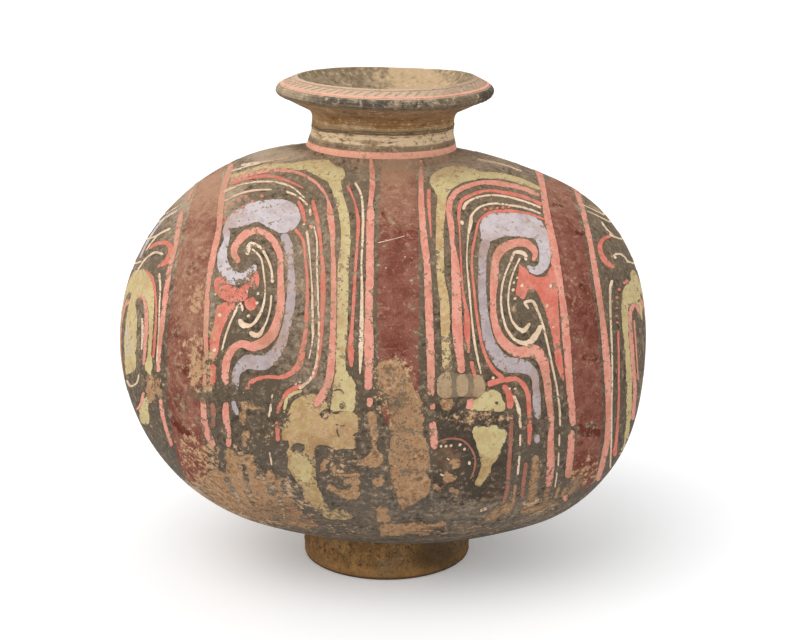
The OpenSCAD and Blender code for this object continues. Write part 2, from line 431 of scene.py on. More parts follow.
crust = {
    "base": rgb(124, 93, 57), "ochre": rgb(176, 132, 80), "dark": rgb(70, 54, 38), "grey": rgb(126, 107, 82),
    "pale": rgb(196, 158, 108),
    "layers": [
        ("ragged", 0.46, 0.66, 1, "ochre"), ("broad", 0.5, 0.62, 0.7, "grey"),
        ("fine", 0.48, 0.34, 0.85, "dark"), ("fine", 0.56, 0.7, 0.6, "ochre"),
        ("speck", 0.57, 0.64, 0.5, "pale"), ("speck", 0.44, 0.36, 0.6, "dark"),
        ("height", 0.011, 0.004, 0.35, "ochre"), ("height", 0.0026, 0.0008, 0.85, "dark"),     # m; the dark at the very bottom is painted shadow along the foot's lower edge
    ],
    "stain": (0.25, 0.8, 0.6), "relief": 2 * mm,
}


def footMaterial():
    material, tree, shader = startMaterial("earthCrustedFoot")
    ground = groundNodes(tree)
    color = glaze(tree, ground, crust["base"], crust["layers"], crust)
    stain = weathering(tree, "bare", ground)
    color = blendColor(tree, partly(tree, stain, *crust["stain"]), color, crust["dark"])
    finishMaterial(tree, shader, color, ground["relief"], crust["relief"])
    return material


smeared = {
    "layers": [("ragged", 0.4, 0.6, 1, "clay"), ("fine", 0.44, 0.32, 0.6, "pit")],
    "relief": 0.8 * mm,
}


def coilMaterial():
    material, tree, shader = startMaterial("smearedCoilClay")
    ground = groundNodes(tree)
    color = glaze(tree, ground, slip["clayDark"], smeared["layers"], slip)
    finishMaterial(tree, shader, color, ground["relief"], smeared["relief"])
    return material


print("finishes mixed")

# worn places, photo pixels: x, y, half width, half height, strength
worn = {
    "reach": 2.4, "fade": 1.5,             # square of how far a place reaches, and how it fades
    "places": {
        "clay": [
            (395, 375, 20, 14, 0.45), (385, 388, 10, 8, 0.5), (405, 415, 16, 18, 0.55),
            (405, 396, 14, 6, 0.5), (405, 460, 12, 30, 0.5), (240, 470, 16, 20, 0.45),
            (264, 488, 18, 16, 0.45), (288, 492, 14, 12, 0.4), (240, 508, 40, 12, 0.7),
            (208, 486, 18, 16, 0.6), (270, 514, 32, 10, 0.6), (200, 365, 13, 24, 0.66),
            (197, 300, 10, 14, 0.52), (205, 385, 7, 8, 0.6), (190, 345, 10, 12, 0.45),
            (208, 330, 8, 16, 0.5), (190, 450, 10, 20, 0.45), (206, 457, 10, 14, 0.6),
            (157, 388, 5, 10, 0.6), (475, 418, 36, 5, 0.5), (540, 505, 14, 7, 0.6), (575, 478, 10, 10, 0.5),
            (590, 470, 8, 12, 0.45), (460, 530, 40, 5, 0.3), (330, 530, 40, 6, 0.22),
            (320, 428, 34, 18, 0.42), (345, 432, 14, 14, 0.45), (310, 500, 12, 12, 0.4),
            (268, 440, 14, 12, 0.38), (345, 465, 20, 12, 0.3), (388, 408, 9, 12, 0.4),
        ],
        "bare": [
            (215, 393, 26, 8, 0.6), (262, 395, 16, 10, 0.45), (480, 418, 40, 6, 0.45),
            (432, 400, 7, 4, 0.6), (432, 414, 7, 4, 0.5), (370, 394, 6, 3, 0.5), (540, 428, 30, 5, 0.14),
            (352, 508, 16, 5, 0.25), (300, 512, 50, 10, 0.25), (452, 505, 28, 12, 0.3),
            (540, 490, 30, 18, 0.1), (549, 482, 7, 12, 0.2), (225, 440, 16, 14, 0.2),
            (281, 420, 8, 12, 0.25), (310, 350, 10, 14, 0.16), (270, 180, 50, 14, 0.1),
            (340, 300, 8, 60, 0.06), (258, 215, 26, 12, 0.08), (250, 268, 9, 8, 0.2),
            (330, 408, 20, 10, 0.1), (320, 340, 30, 40, 0.08), (236, 290, 26, 12, 0.2),
            (308, 470, 14, 40, 0.14), (180, 300, 20, 100, 0.08), (394, 400, 15, 9, 0.3),
            (407, 416, 16, 18, 0.2), (402, 460, 14, 20, 0.15), (208, 434, 14, 16, 0.2),
            (384, 374, 12, 12, 0.1), (398, 166, 24, 5, 0.45),
        ],
        "dust": [
            (205, 190, 34, 30, 0.86), (188, 240, 22, 40, 0.6), (360, 164, 18, 7, 0.55),
            (250, 178, 50, 14, 0.42), (320, 160, 50, 8, 0.5), (278, 156, 30, 7, 0.95),
            (398, 168, 40, 12, 0.7), (398, 205, 22, 26, 0.4), (465, 162, 50, 9, 0.7),
            (530, 180, 30, 14, 0.36), (195, 300, 22, 50, 0.58), (190, 370, 20, 60, 0.42),
            (575, 200, 24, 26, 0.3), (340, 380, 16, 10, 0.25), (395, 380, 20, 20, 0.4),
            (478, 386, 7, 11, 0.3), (330, 425, 30, 20, 0.25), (400, 470, 30, 50, 0.25),
            (230, 500, 60, 22, 0.6), (500, 510, 60, 14, 0.4), (136, 300, 14, 80, 0.4),
            (312, 300, 34, 84, 0.46), (312, 382, 26, 8, 0.5), (500, 300, 80, 90, 0.12),
            (640, 360, 12, 60, 0.3),
        ],
    },
}


def wornness(point, kind):
    x, y = frontPixel(point)
    most = 0.0
    for cx, cy, rx, ry, strength in worn["places"][kind]:
        away = (((x - cx) / rx) ** 2 + ((y - cy) / ry) ** 2) / worn["reach"]
        if away < 1:
            most = max(most, strength * (1 - away ** worn["fade"]))
    return most


def addPiece(name, bm, material, slotName, *nodes):
    mesh = bpy.data.meshes.new(name)
    bm.to_mesh(mesh)
    bm.free()
    mesh.materials.append(material)
    mesh.shade_smooth()
    mesh.set_sharp_from_angle(angle=creaseAngle)
    piece = bpy.data.objects.new(name, mesh)
    scene.collection.objects.link(piece)
    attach(piece, "root")
    if nodes:
        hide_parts(*nodes)
    return piece


def markWear(bm):
    for kind in worn["places"]:
        layer = bm.verts.layers.float.get(kind) or bm.verts.layers.float.new(kind)
        for v in bm.verts:
            v[layer] = wornness(v.co, kind)


def arcPoints(centre, radius, start, end, pitch):
    count = max(3, math.ceil(abs(end - start) * radius / pitch))
    turns = [start + (end - start) * i / count for i in range(count + 1)]
    return [(centre[0] + radius * math.cos(t), centre[1] + radius * math.sin(t)) for t in turns]


# body: one hollow shell, two halves of different arcs, leaning right end down
jar = {
    "girth": 116 * mm, "leftLength": 154 * mm, "rightLength": 145.5 * mm,
    "leftBelly": 314 * mm, "rightBelly": 256 * mm, "rightShoulder": 84.5 * mm,
    "wall": 7 * mm, "lean": math.radians(3.7), "lift": 11.6 * mm,
    "throat": 33.8 * mm, "throatTop": -15 * mm, "throatDepth": 90 * mm, "throatSides": 96,
    "pitch": 2.4 * mm, "turns": 180,
    "uneven": 0.35 * mm, "bumps": 26, "room": 0.22 * mm,       # unevenness, its scale, and room for the paint
}
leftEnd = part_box("body_left")[0].x
axisDip = Vector((math.cos(jar["lean"]), 0, -math.sin(jar["lean"])))
axisUp = Vector((math.sin(jar["lean"]), 0, math.cos(jar["lean"])))


def bearing(centre, point):
    return math.atan2(point[1] - centre[1], point[0] - centre[0])


def halfOutline(belly, length, shoulder):
    girth = jar["girth"]
    bellyAt = (girth - belly, 0.0)
    if shoulder is None:
        tip = (2 * belly * girth - girth ** 2 - length ** 2) / (2 * (belly - length))
        tipAt = (0.0, length - tip)
        meet = bearing(bellyAt, tipAt)
        arcs = [(bellyAt, belly, 0, meet), (tipAt, tip, meet, math.pi / 2)]
    else:
        tipAt = (0.0, length - belly)
        gap = Vector((tipAt[0] - bellyAt[0], tipAt[1] - bellyAt[1]))
        rise = math.sqrt((belly - shoulder) ** 2 - (gap.length / 2) ** 2)
        aim = Vector((-gap.y, gap.x)).normalized()
        turnAt = (Vector(bellyAt) + Vector(tipAt)) / 2 + aim * rise
        first = bearing(bellyAt, turnAt)
        last = bearing(tipAt, turnAt)
        arcs = [(bellyAt, belly, 0, first), (turnAt, shoulder, first, last)]
        arcs.append((tipAt, belly, last, math.pi / 2))
    points = []
    for centre, radius, start, end in arcs:
        points += arcPoints(centre, radius, start, end, jar["pitch"])[1 if points else 0:]
    points[-1] = (0.0, length)
    return points


leftHalf = halfOutline(jar["leftBelly"], jar["leftLength"], None)
rightHalf = halfOutline(jar["rightBelly"], jar["rightLength"], jar["rightShoulder"])
leftReach = max(along * axisDip.x + radius * axisUp.x for radius, along in leftHalf)
seamAt = Vector((leftEnd + leftReach, 0, jar["lift"] + jar["girth"]))


def bodySkin():
    bm = bmesh.new()
    chain = [(r, -a) for r, a in reversed(leftHalf)] + rightHalf[1:]
    verts = [bm.verts.new(seamAt + axisDip * a + axisUp * r) for r, a in chain]
    for a, b in zip(verts, verts[1:]):
        bm.edges.new((a, b))
    bmesh.ops.spin(bm, geom=bm.verts[:] + bm.edges[:], axis=axisDip, cent=seamAt, angle=math.tau,
                   steps=jar["turns"], use_merge=True, use_duplicate=False)
    bmesh.ops.remove_doubles(bm, verts=bm.verts[:], dist=weld)
    bmesh.ops.dissolve_degenerate(bm, edges=bm.edges[:], dist=sliver)
    bmesh.ops.recalc_face_normals(bm, faces=bm.faces[:])
    bm.normal_update()
    for v in bm.verts:
        rough = noise.noise(Vector((v.co.x, abs(v.co.y), v.co.z)) * jar["bumps"])      # alike on both sides
        v.co -= v.normal * (jar["room"] + jar["uneven"] * (0.5 + 0.5 * rough))
    bm.normal_update()
    return bm


def throatDrill():
    cutter = bmesh.new()
    aim = neckPlace @ Matrix.Translation((0, 0, jar["throatTop"] - jar["throatDepth"] / 2))
    bmesh.ops.create_cone(cutter, cap_ends=True, segments=jar["throatSides"], radius1=jar["throat"],
                          radius2=jar["throat"], depth=jar["throatDepth"], matrix=aim)
    mesh = bpy.data.meshes.new("throatCutter")
    cutter.to_mesh(mesh)
    cutter.free()
    drill = bpy.data.objects.new("throatCutter", mesh)
    scene.collection.objects.link(drill)
    return drill


def makeBody():
    bm = bodySkin()
    skin = BVHTree.FromBMesh(bm)
    bmesh.ops.solidify(bm, geom=bm.faces[:], thickness=jar["wall"])
    markWear(bm)
    piece = addPiece("jarBody", bm, slipMaterial("darkSlipGround"), "painted_body", "body_left", "body_right")
    drill = throatDrill()
    hole = piece.modifiers.new("throat", "BOOLEAN")
    hole.operation = "DIFFERENCE"
    hole.object = drill
    bpy.context.view_layer.update()
    done = bpy.data.meshes.new_from_object(piece.evaluated_get(bpy.context.evaluated_depsgraph_get()))
    piece.modifiers.clear()
    piece.data = done
    done.name = "jarBody"
    bpy.data.objects.remove(drill)
    return skin


# neck, turned in one with its flared lip; its zero is the middle of the mouth
neck = {
    "at": (2.29 * mm, 280 * mm), "lean": math.radians(1.6), "turns": 200,
    "uneven": 0.25 * mm, "bumps": 160, "wobbleWaves": 1.7, "wobbleSeed": 4.0,
    # the rest is in mm and degrees, and points are radius and height
    "throat": 33, "throatEnds": (-33.5, -21), "bottom": -44, "bottomFlare": 0.8,
    "funnelAt": -20, "funnelRadius": 13, "funnelTurn": 118,
    "mouth": 49, "mouthBevel": [(47.6, -1.4), (48.3, -0.4)], "mouthDrop": -0.1,
    "lip": 60.5, "lipInset": 2.5, "lipDrop": -4.3, "lipAt": -7.4, "lipRadius": 3, "lipTurn": (60, -66),
    "under": (43.6, -17.4), "waistAt": -23, "waistRadius": 6, "waistTurn": 114,
    "radius": 39.7, "stemFoot": -25.6, "stemEdge": (0.4, -26.2), "seat": 37.9, "seatTop": -27,
    "coarse": 1.4, "middling": 1.2, "close": 0.8, "rimPitch": 1,               # spacing of rows
    "shiftTop": 0.3, "shiftBase": -1.0, "baseAt": -36.4, "rightRise": 2.4, "wobble": 0.45,
}
neckPlace = Matrix.Translation((neck["at"][0], 0, neck["at"][1])) @ Matrix.Rotation(neck["lean"], 4, "Y")
neckTurn = neckPlace.to_3x3()
turnScale = 10                             # mm of outline to one unit of the rings' pattern


def lathe(outline, turns):
    bm = bmesh.new()
    zone = bm.verts.layers.float.new("zone")
    turn = bm.verts.layers.float.new("turn")
    verts = []
    length = 0.0
    before = outline[0][:2]
    for r, z, share in outline:
        length += math.dist((r, z), before)
        before = (r, z)
        v = bm.verts.new((r * mm, 0, z * mm))
        v[zone] = share
        v[turn] = length / turnScale
        verts.append(v)
    for a, b in zip(verts, verts[1:] + verts[:1]):
        bm.edges.new((a, b))
    bmesh.ops.spin(bm, geom=bm.verts[:] + bm.edges[:], axis=(0, 0, 1), cent=(0, 0, 0), angle=math.tau,
                   steps=turns, use_merge=True, use_duplicate=False)
    bmesh.ops.remove_doubles(bm, verts=bm.verts[:], dist=weld)
    bmesh.ops.recalc_face_normals(bm, faces=bm.faces[:])
    return bm


def densify(points, pitch, share):
    dense = []
    for (r0, z0), (r1, z1) in zip(points, points[1:]):
        count = max(1, round(math.dist((r0, z0), (r1, z1)) / pitch))
        dense += [(r0 + (r1 - r0) * i / count, z0 + (z1 - z0) * i / count, share) for i in range(count)]
    return dense


def neckOutline():
    throat, lip, radius, seat = neck["throat"], neck["lip"], neck["radius"], neck["seat"]
    funnelAt = (throat + neck["funnelRadius"], neck["funnelAt"])
    funnelEnd = math.radians(neck["funnelTurn"])
    funnel = arcPoints(funnelAt, neck["funnelRadius"], math.pi, funnelEnd, neck["middling"])
    lipStart, lipEnd = (math.radians(turn) for turn in neck["lipTurn"])
    lipAt = (lip - neck["lipRadius"], neck["lipAt"])
    lipSide = arcPoints(lipAt, neck["lipRadius"], lipStart, lipEnd, neck["close"])
    waistAt = (radius + neck["waistRadius"], neck["waistAt"])
    waistStart = math.radians(neck["waistTurn"])
    waist = arcPoints(waistAt, neck["waistRadius"], waistStart, math.pi, neck["close"])
    bottom = (throat + neck["bottomFlare"], neck["bottom"])
    inside = [bottom] + [(throat, z) for z in neck["throatEnds"]] + funnel
    inside += neck["mouthBevel"] + [(neck["mouth"], 0)]
    lipTop = [(neck["mouth"], neck["mouthDrop"]), (lip - neck["lipInset"], neck["lipDrop"]), lipSide[0]]
    under = [lipSide[-1], neck["under"]] + waist[:2]
    inset, edgeAt = neck["stemEdge"]
    stem = [waist[-1], (radius, neck["stemFoot"]), (radius - inset, edgeAt)]
    stem += [(seat, neck["seatTop"]), (seat, neck["bottom"]), bottom]
    runs = [
        (inside, "coarse", "inside"), (lipTop, "coarse", "lipTop"), (lipSide, "rimPitch", "lipSide"),
        (under, "middling", "under"), (waist[1:], "middling", "neck"), (stem, "middling", "ridge"),
    ]
    return [row for points, pitch, zone in runs for row in densify(points, neck[pitch], zones[zone])]


def swayNeck(v):
    x, y, z = v / mm
    angle = math.atan2(y, x)
    share = min(1, max(0, z / neck["baseAt"]))
    sway = neck["shiftTop"] + (neck["shiftBase"] - neck["shiftTop"]) * share
    waves = neck["wobbleWaves"]
    around = (math.cos(angle) * waves, math.sin(angle) * waves, neck["wobbleSeed"])
    dip = neck["wobble"] * (0.5 + 0.5 * noise.noise(around))
    dip -= neck["rightRise"] * max(0, math.cos(angle)) ** 2
    return neckPlace @ (Vector((x + sway, y, z - dip * (1 - share))) * mm)


def makeNeck():
    bm = lathe(neckOutline(), neck["turns"])
    for v in bm.verts:
        v.co = swayNeck(v.co)
    top = BVHTree.FromBMesh(bm)
    bmesh.ops.recalc_face_normals(bm, faces=bm.faces[:])
    bm.normal_update()
    for v in bm.verts:
        v.co -= v.normal * neck["uneven"] * (0.5 + 0.5 * noise.noise(v.co * neck["bumps"]))
    markWear(bm)
    addPiece("jarNeck", bm, neckMaterial(), "neck_clay", "neck")
    return top


# collar: its foot spreads and follows the body
collar = {
    "rows": {                              # mm: radius and height, by zone
        "ridge": [(39.2, -25.7), (39.8, -26.3)],
        "band": [(39.2, -26.9), (39.8, -27.6), (39.4, -28.3), (39.7, -29), (39.75, -30), (40, -31.4)],
        "bandEdge": [(40.2, -32)],
        "hem": [(40.5, -33), (40.8, -34), (41.1, -35.5), (41.4, -37)],
    },
    "inner": 38.3, "innerTop": -26.4, "innerFoot": -50, "outerFoot": -52,      # mm
    "spread": 2.2, "spreadPower": 1.7, "flareRows": 7, "flarePower": 1.5,      # mm; a row to each mm
    "tuck": 1.6 * mm, "castFrom": 40 * mm, "turns": 200,
}


def makeCollar(skin):
    rows = [(r, z, zones[zone]) for zone, points in collar["rows"].items() for r, z in points]
    wide, low = rows[-1][:2]
    flareRows = collar["flareRows"]
    flare = []
    for i in range(1, flareRows + 1):
        spread = collar["spread"] * (i / flareRows) ** collar["spreadPower"]
        flare.append((wide + spread, low - i, zones["slip"]))
    flare.append((wide + spread, collar["outerFoot"], zones["slip"]))
    inner = [(collar["inner"], z, zones["ridge"]) for z in (collar["innerFoot"], collar["innerTop"])]
    bm = lathe(inner + rows + flare, collar["turns"])
    down = neckTurn @ Vector((0, 0, -1))
    for v in bm.verts:
        z = v.co.z / mm
        place = swayNeck(v.co)
        if z < low - 0.5:                  # below the straight rows
            hit = skin.ray_cast(place - down * collar["castFrom"], down)[0]
            if z < low - flareRows - 0.5:  # the two foot rows
                place = hit + down * collar["tuck"]
            else:
                level = (neckPlace.inverted() @ hit).z / mm
                share = min(1, (low - z) / flareRows)
                eased = 1 - (1 - share) ** collar["flarePower"]
                place = place - down * (low + (level - low) * eased - z) * mm
        v.co = place
    bmesh.ops.recalc_face_normals(bm, faces=bm.faces[:])
    ring = BVHTree.FromBMesh(bm)
    markWear(bm)
    addPiece("neckCollar", bm, neckMaterial(), "neck_clay", "neck_collar")
    return ring


# foot ring, rough with earth
foot = {
    "at": 2.59 * mm, "turns": 220,
    "radius": 49.2, "wall": 9, "height": 24, "barrel": 110, "wideAt": 6, "taper": 1.5, "pitch": 1.3,   # mm
    "innerEdge": [(0, 1.6), (0.5, 0.5), (1.6, 0)], "outerEdge": [(-1.9, 0), (-0.7, 0.5)], "sideFrom": 2,
    "crust": 0.9 * mm, "crustScale": 190, "crustNoise": (0.9, 2.1, 4), "crustFrom": 1.5 * mm,
    "tuck": 1.2 * mm, "castFrom": -0.05,   # m
    "stain": (434, 556, 30, 20),           # photo pixels: x, y, half width, half height
}


def footOutline():
    inner, outer = foot["radius"] - foot["wall"], foot["radius"]
    outline = [(inner - foot["taper"], foot["height"])]
    outline += [(inner + r, h) for r, h in foot["innerEdge"]]
    outline += [(outer + r, h) for r, h in foot["outerEdge"]]
    for h in range(foot["sideFrom"], foot["height"] + 1):
        outline.append((outer - (h - foot["wideAt"]) ** 2 / (2 * foot["barrel"]), h))
    return densify(outline + outline[:1], foot["pitch"], zones["inside"])


def makeFoot(skin):
    bm = lathe(footOutline(), foot["turns"])
    stain = bm.verts.layers.float.new("bare")
    bm.normal_update()
    for v in bm.verts:
        rough = noise.fractal(v.co * foot["crustScale"], *foot["crustNoise"]) * 0.5 + 0.5
        depth = min(1, max(0, rough)) * min(1, v.co.z / foot["crustFrom"])
        v.co -= v.normal * foot["crust"] * depth
    cx, cy, rx, ry = foot["stain"]
    for v in bm.verts:
        v.co.x += foot["at"]
        roof = skin.ray_cast(Vector((v.co.x, v.co.y, foot["castFrom"])), Vector((0, 0, 1)))[0]
        if roof:
            v.co.z = min(v.co.z, roof.z + foot["tuck"])
        x, y = frontPixel(v.co)
        v[stain] = max(0, 1 - ((x - cx) / rx) ** 2 - ((y - cy) / ry) ** 2)
    bmesh.ops.remove_doubles(bm, verts=bm.verts[:], dist=2 * weld)
    bmesh.ops.recalc_face_normals(bm, faces=bm.faces[:])
    addPiece("footRing", bm, footMaterial(), "foot_clay", "foot_ring")


skin = makeBody()
print("body shell turned")
rimSkin = makeNeck()
collarSkin = makeCollar(skin)
makeFoot(skin)
clayMaterial = coilMaterial()
for name in ("seam_coil", "foot_coil"):
    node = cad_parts[name]
    node.data.materials.clear()
    node.data.materials.append(clayMaterial)
print("neck, collar and foot turned")

# brush work: strokes are x, y, width in photo pixels, laid on the body through the camera
brush = {
    "step": 1.2, "column": 4.0, "cell": 5.0, "outline": 1.5,   # spacing along, across, in and round fills
    "cutSlack": 0.001,                     # a fill's cuts keep to vertices this near
    "depth": 0.36 * mm,                    # how far a stroke's slab goes into the body
    "leastWidth": 0.5, "ragged": 0.5, "filled": 0.7, "flaked": 1.8,    # width, and unevenness of edges
    "waves": (0.16, 0.6), "seed": 3.0, "fillWaves": (0.2, 0.55), "fillSeeds": (7.0, 9.0),
    "tipWidth": 0.25, "seamEase": 4,       # least share of the width at a tip; calm at a ring's seam
    "pull": 0.01, "tries": 60,             # a spot off the jar moves to its middle by steps
    "under": 0.01 * mm,                    # fills lie this far below strokes
    "endFrom": 0.3,                        # m, from where the end strokes are cast
    "dabTilt": (0.85, -0.5), "dabWidths": (1, 1.1, 0.7),
}


def smoothPath(points, gap):
    knots = [Vector(p) for p in points]
    spans = [max((b.xy - a.xy).length, 0.01) for a, b in zip(knots, knots[1:])]
    slopes = [(b - a) / s for a, b, s in zip(knots, knots[1:], spans)]
    joins = zip(slopes, slopes[1:], spans, spans[1:])
    bends = [slopes[0]] + [(s0 * d1 + s1 * d0) / (d0 + d1) for s0, s1, d0, d1 in joins] + [slopes[-1]]
    path = []
    for i, length in enumerate(spans):
        count = max(2, math.ceil(length / gap) + 1)
        out = knots[i] + bends[i] * length / 3
        into = knots[i + 1] - bends[i + 1] * length / 3
        piece = geometry.interpolate_bezier(knots[i], out, into, knots[i + 1], count)
        path += piece[1 if path else 0:]
    return path


def tremble(spot, waves, seeds):
    return sum(noise.noise((spot.x * wave, spot.y * wave, seed)) for wave, seed in zip(waves, seeds))


def brushStroke(bm, points, gap=brush["step"], ragged=brush["ragged"], closed=False):
    path = smoothPath(points, gap)
    run = [0.0]
    for a, b in zip(path, path[1:]):
        run.append(run[-1] + (b.xy - a.xy).length)
    columns = max(2, math.ceil(max(p.z for p in path) / brush["column"]))
    edge = bm.verts.layers.float["edge"]
    rows = len(path) - 1
    made = bmesh.ops.create_grid(bm, x_segments=rows, y_segments=columns, size=0.5)["verts"]
    for v in made:
        row = round((v.co.x + 0.5) * rows)
        across = v.co.y
        spot = path[row]
        ahead = (path[min(row + 1, rows)] - path[max(row - 1, 0)]).xy.normalized()
        half = max(spot.z, brush["leastWidth"]) / 2
        tail = min(run[row], run[-1] - run[row])
        near = 1 if closed else min(1, tail / half)
        tip = max(brush["tipWidth"], math.sqrt(1 - (1 - near) ** 2))
        side = math.copysign(brush["seed"], across)
        shake = tremble(spot, brush["waves"], (side, side))
        shake *= ragged * min(1, half / 2) * (min(1, tail / brush["seamEase"]) if closed else 1)
        reach = across * 2 * (half * tip + shake)
        v.co = (spot.x - ahead.y * reach, spot.y + ahead.x * reach, 0)
        v[edge] = max(abs(across) * 2, 1 - near)
    return made


def brushFill(bm, points, ragged):
    ring = smoothPath([(x, y, 0) for x, y in points + points[:1]], brush["outline"])[:-1]
    shakes = [tremble(p, brush["fillWaves"], brush["fillSeeds"]) * ragged for p in ring]
    verts = [bm.verts.new((p.x + s, p.y - s, 0)) for p, s in zip(ring, shakes)]
    sides = [bm.edges.new(pair) for pair in zip(verts, verts[1:] + verts[:1])]
    filled = bmesh.ops.triangle_fill(bm, use_beauty=True, edges=sides)["geom"]
    faces = [f for f in filled if isinstance(f, bmesh.types.BMFace)]
    geom = verts + list({e for f in faces for e in f.edges}) + faces
    for axis in (0, 1):
        low = min(v.co[axis] for v in verts)
        high = max(v.co[axis] for v in verts)
        normal = Vector((1 - axis, axis, 0))
        for i in range(1, math.ceil((high - low) / brush["cell"])):
            at = normal * (low + i * brush["cell"])
            cut = bmesh.ops.bisect_plane(bm, geom=geom, dist=brush["cutSlack"], plane_co=at, plane_no=normal)
            geom = cut["geom"]
    made = [v for v in geom if isinstance(v, bmesh.types.BMVert)]
    edge = bm.verts.layers.float["edge"]
    for v in made:
        v[edge] = float(any(e.is_boundary for e in v.link_edges))
    return made


def nearestHit(start, aim, *surfaces):
    hits = [surface.ray_cast(start, aim) for surface in surfaces]
    return min((hit for hit in hits if hit[0]), key=lambda hit: hit[3], default=(None, None))[:2]


def onFront(spot):
    x, y = spot.xy
    middleX, middleY = view["jarMiddle"]
    for _ in range(brush["tries"]):
        hit, normal = nearestHit(view["eye"], pixelRay(x, y), skin, collarSkin)
        if hit:
            break
        x += (middleX - x) * brush["pull"]
        y += (middleY - y) * brush["pull"]
    return hit, normal


def onEnd(side):
    def lay(spot):
        start = Vector((side * brush["endFrom"], spot.x * mm, spot.y * mm))
        return nearestHit(start, Vector((-side, 0, 0)), skin)
    return lay


def layOn(verts, surface, lift):
    for v in verts:
        hit, normal = surface(v.co)
        v.co = hit + normal * lift


def newSheet():
    bm = bmesh.new()
    bm.verts.layers.float.new("edge")
    return bm


paints = defaultdict(newSheet)             # one mesh for each paint
lifts = {                                  # how far each paint stands off the ground, mm
    "soot": 0.06, "maroon": 0.08, "flake": 0.12, "blot": 0.12, "lavender": 0.13, "greyLavender": 0.13,
    "tanGreen": 0.15, "clawGreen": 0.15, "wash": 0.17, "green": 0.18, "muted": 0.19, "fadedRed": 0.2,
    "red": 0.2, "pink": 0.23, "white": 0.26, "dark": 0.28, "dot": 0.3,
}

# maroon bands with their blots and pink borders
bands = {
    "maroon": [
        [(398.5, 156, 34), (398.5, 166, 35), (398.5, 200, 37), (398.5, 250, 40), (398.3, 300, 42),
         (398.6, 350, 41), (400, 400, 38), (403, 430, 34)],
        [(552, 176, 22), (559.7, 195, 24.5), (565.7, 220, 27.5), (572, 250, 28), (577, 280, 27),
         (581.7, 310, 27.5), (584.5, 340, 28), (587, 370, 28), (588.7, 400, 27.5), (589, 430, 26),
         (586, 460, 24), (580, 488, 20)],
        [(219, 160, 14), (213, 172, 19), (208, 190, 24), (203.5, 210, 27), (200.5, 230, 31),
         (195.8, 250, 31.5), (190, 280, 31.5), (187, 310, 34), (185, 340, 35.5), (185, 370, 36),
         (184.5, 400, 33), (187.5, 430, 31), (193, 460, 28), (200, 484, 20)],
    ],
    "blot": [
        [(381, 212, 3), (386, 218, 2.5), (392, 223, 2), (400, 227.5, 1.5)], [(404, 366, 8), (410, 372, 7)],
        [(552, 204, 3), (558, 206, 4), (565, 205, 3)], [(575, 231, 4), (580, 233, 6), (585, 232, 4)],
        [(580, 284, 5), (585, 289, 8), (589, 294, 5)], [(582, 358, 4), (590, 357, 8), (598, 361, 4)],
        [(578, 424, 5), (584, 432, 11), (592, 428, 10), (600, 436, 4)], [(583, 441, 5), (577, 446, 4)],
        [(176, 392, 8), (180, 403, 11), (184, 413, 8)], [(176, 366, 5), (188, 372, 8), (196, 380, 5)],
        [(170, 416, 5), (182, 428, 9), (190, 437, 5)], [(196, 262, 5), (188, 276, 8)],
        [(178, 324, 6), (176, 338, 7)],
    ],
    "pink": [
        [(420.5, 160, 4), (421, 185, 5), (421.5, 205, 6), (424, 240, 7), (427, 265, 7), (428.5, 300, 7.5),
         (430, 340, 8), (431, 380, 7.5), (430.7, 397, 6.5)],
        [(432.5, 402, 5), (432.5, 410, 5)], [(432.5, 421, 6), (434, 441, 8), (434.5, 449, 6)],
        [(371, 157, 3), (372, 172, 5), (372.5, 186, 6), (371, 200, 5), (370.5, 220, 8), (370, 240, 7.5),
         (369.8, 276, 8), (369, 303, 7.8), (368.7, 325, 8.5), (369, 346, 9.8), (369, 365, 8.5),
         (368, 390, 7.5)],
        [(370, 397, 6), (369.5, 407, 6)],
        [(536, 166, 6), (541, 180, 6), (544.5, 200, 6), (548, 220, 6.5), (552, 240, 7.5), (555.5, 260, 8),
         (560.5, 288, 6), (564.5, 320, 7.5), (567.5, 355, 7.5), (569.5, 385, 7), (572, 412, 6.5),
         (572.5, 426, 6)],
        [(571.5, 430, 6), (570.5, 452, 7), (567.5, 478, 6)], [(565.5, 493, 5), (564.5, 501, 5)],
        [(574, 184, 4), (578, 195, 5), (585, 220, 5), (591.5, 250, 5), (596, 278, 6), (601, 310, 5.5),
         (604.5, 340, 6.5), (607.5, 375, 7), (608.5, 405, 6), (607.5, 435, 6), (603, 460, 5.5),
         (597, 481, 4)],
        [(232, 164, 5), (228, 175, 6), (223, 192, 6), (220.5, 213, 6), (219, 230, 5.5), (215.5, 246, 6),
         (211, 268, 6), (209, 280, 5), (207, 310, 5), (206, 340, 4.5), (207, 360, 3.5)],
        [(205, 374, 4), (204.5, 388, 4)],
        [(203, 396, 5), (204, 410, 6), (205.5, 425, 7), (209.5, 437, 8), (214, 447, 5)],
        [(182, 210, 3.5), (181, 216, 4.5), (178.5, 230, 5), (175.5, 246, 4.5), (171.5, 262, 4.5),
         (167.5, 284, 5), (164.5, 308, 5), (161.5, 330, 5.3), (159.5, 350, 4.7), (158.5, 372, 4.5)],
        [(160.5, 399, 3.5), (163, 415, 4), (167, 430, 3.5), (172, 446, 3)],
        [(193, 190, 3), (190, 196, 3), (188, 201, 2.5)],
    ],
}

